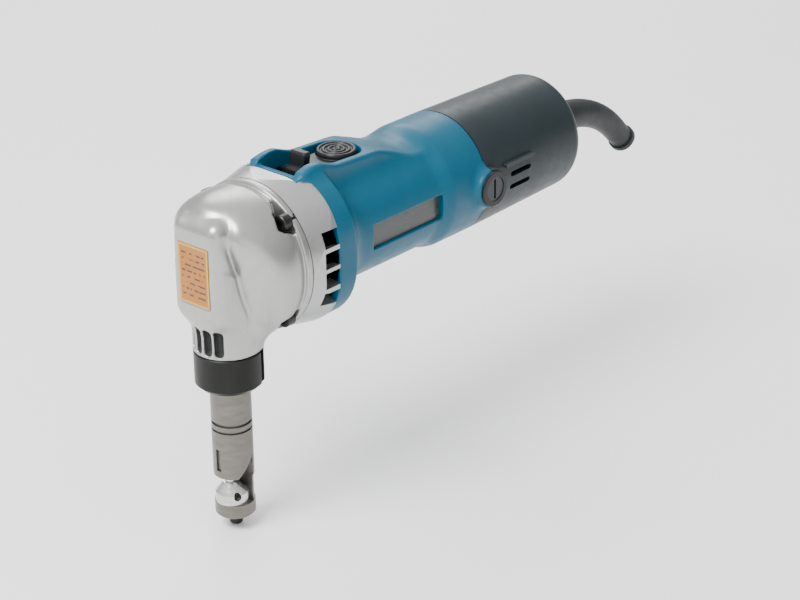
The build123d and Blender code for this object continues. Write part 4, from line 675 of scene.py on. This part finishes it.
ring_rear = node_box("exhaust_ring")[1][0]
hood_front, flange_half = node_box("motor_housing")[0][:2] * (1, -1)
cover_joint = node_box("rear_cover")[0][0]
sleeve_end = node_box("motor_housing")[1][0]
brush_x = sum(corner[0] for corner in node_box("brush_caps")) / 2
pad_x = node_box("switch_slider")[1][0] - PAD_RADIUS
lug_x = pad_x + LUG_PLACE
rod_low, rod_high = node_box("switch_rod")
plate_low, plate_high = node_box("side_plates")
boot_low, boot_high = node_box("bearing_boot")


# ---------------------------------------------------------------- switch slider
SLIDER_GAP = 0.3
SLIDER_HALF_WIDTH = 9.0
SLIDER_THICKNESS = 2.5
PAD_HEIGHT = 5.2
PAD_GROOVE_PITCH = 2.6
PAD_GROOVE_DEPTH = 0.9
RIDGE_PLACE = 3.4
RIDGE_HALF_LENGTH = 2.4
RIDGE_HALF_WIDTH = 5.2
RIDGE_LEAN = 0.18
RIDGE_DROP = 1.0


def slider_field(x, y, z):
    """Thumb slider: a plate, a round pad with ring grooves, a slim ridge in front and the lug for the rod."""
    rise = z - MOTOR_AXIS - POCKET_FLOOR - SLIDER_GAP
    out = np.hypot(x - pad_x, y)
    plate = box(x, y, rise, (slider_low[0], -SLIDER_HALF_WIDTH, 0),
                (pad_x, SLIDER_HALF_WIDTH, SLIDER_THICKNESS), 0.5)
    top = PAD_HEIGHT - PAD_GROOVE_DEPTH * (0.5 + 0.5 * np.cos(2 * pi * out / PAD_GROOVE_PITCH)) ** 2
    pad = soft_max(out - PAD_RADIUS, np.maximum(rise - top, 0.05 - rise), 0.8)
    lean = (rise - 2) * RIDGE_LEAN
    ridge = np.abs(x - slider_low[0] - RIDGE_PLACE - lean) - RIDGE_HALF_LENGTH
    ridge = soft_max(ridge, np.abs(y) - RIDGE_HALF_WIDTH, 1.2)
    ridge = soft_max(ridge, np.maximum(z - slider_high[2] + RIDGE_DROP, 1 - rise), 1.6)
    lug = box(x, y, z, (lug_x, -LUG_HALF_WIDTH, slider_low[2]),
              (lug_x + LUG_LENGTH, LUG_HALF_WIDTH, MOTOR_AXIS + POCKET_FLOOR + 2), 0.2)
    return np.minimum(np.minimum(pad, soft_min(plate, ridge, 3.0)), lug)


slider_low, slider_high = node_box("switch_slider")


# ---------------------------------------------------------------- stage
# Metres here. The floor lies a hair under the tool, so that the two never share a plane.
FLOOR_HALF = 6.0
FLOOR_GAP = 0.0005
TOOL_MIDDLE = (0.08, 0, 0.08)
SKY_CENTRE = (-0.35, 0.15, 0.92)
SKY_STRENGTH = (0.2, 1.75)


def make_floor():
    """A large sheet of pale paper."""
    level = cad_box[0][2] - FLOOR_GAP
    mesh = bpy.data.meshes.new("floor")
    corners = [(x * FLOOR_HALF, y * FLOOR_HALF, level) for x, y in ((-1, -1), (1, -1), (1, 1), (-1, 1))]
    mesh.from_pydata(corners, [], [(0, 1, 2, 3)])
    floor = bpy.data.objects.new("floor", mesh)
    bpy.context.scene.collection.objects.link(floor)
    shader = Shader("floor_paper", 0.85)
    shader.colour(shader.mix(shader.clouds(3, 0, 1), (0.93, 0.93, 0.93), (0.95, 0.95, 0.95)))
    mesh.materials.append(shader.material)


def area_light(name, place, size, power):
    """A soft box aimed at the tool's middle."""
    data = bpy.data.lights.new(name, "AREA")
    data.shape = "RECTANGLE"
    data.size, data.size_y = size
    data.energy = power
    light = bpy.data.objects.new(name, data)
    light.location = place
    light.rotation_euler = (Vector(TOOL_MIDDLE) - Vector(place)).to_track_quat("-Z", "Y").to_euler()
    bpy.context.scene.collection.objects.link(light)


def make_lights():
    """Three soft boxes, and a soft sky, brightest over the tool's front, for the metal to reflect."""
    world = bpy.data.worlds.new("studio")
    world.use_nodes = True
    tree = world.node_tree
    place = tree.nodes.new("ShaderNodeTexCoord").outputs["Generated"]
    facing = tree.nodes.new("ShaderNodeVectorMath")
    facing.operation = "DOT_PRODUCT"
    facing.inputs[1].default_value = Vector(SKY_CENTRE).normalized()
    strength = tree.nodes.new("ShaderNodeMapRange")
    for key, value in zip(("From Min", "From Max", "To Min", "To Max"), (-0.35, 1.0, *SKY_STRENGTH)):
        strength.inputs[key].default_value = value
    tree.links.new(place, facing.inputs[0])
    tree.links.new(facing.outputs["Value"], strength.inputs["Value"])
    tree.links.new(strength.outputs["Result"], tree.nodes["Background"].inputs["Strength"])
    tree.nodes["Background"].inputs["Color"].default_value = (1, 1, 1, 1)
    bpy.context.scene.world = world
    area_light("key", (-0.75, 0.05, 1.2), (0.7, 0.5), 26)
    area_light("fill", (-0.9, -1.3, 0.35), (1.0, 0.8), 3)
    area_light("rim", (0.9, 0.8, 0.9), (0.8, 0.6), 9)


# ---------------------------------------------------------------- build
make_camera()
materials = make_materials()
slots = {part["node"]: part["material_slot"] for part in frame["record"]["subparts"]}
for node_name, node_object in nodes.items():
    dress(node_object, slots[node_name])


def paint_vent_shade(piece):
    """Paints the floor and walls of the neck vents near black: painted shade standing in for the shadow deep in
    the vents.
    """
    piece.data.materials.append(materials["vent_painted_shade"])
    for face in piece.data.polygons:
        x, y, z = face.center / MM
        in_reach = neck_bottom + 1 < z < neck_bottom + VENT_HEIGHT + 1 and x < 0
        if in_reach and neck_radius - VENT_DEPTH - 1 < np.hypot(x, y) < neck_radius - 0.9:
            face.material_index = 1


gear_case = stand_in("gear_case", gear_housing_field, "gear_housing", "housing", 0.7)
stand_in("motor_case", motor_housing_field, "motor_housing", "housing", 0.8)
stand_in("slider", slider_field, "switch_slider", "switch", 0.4)
# Painted shade inside the neck vents.
paint_vent_shade(gear_case)
make_floor()
make_lights()
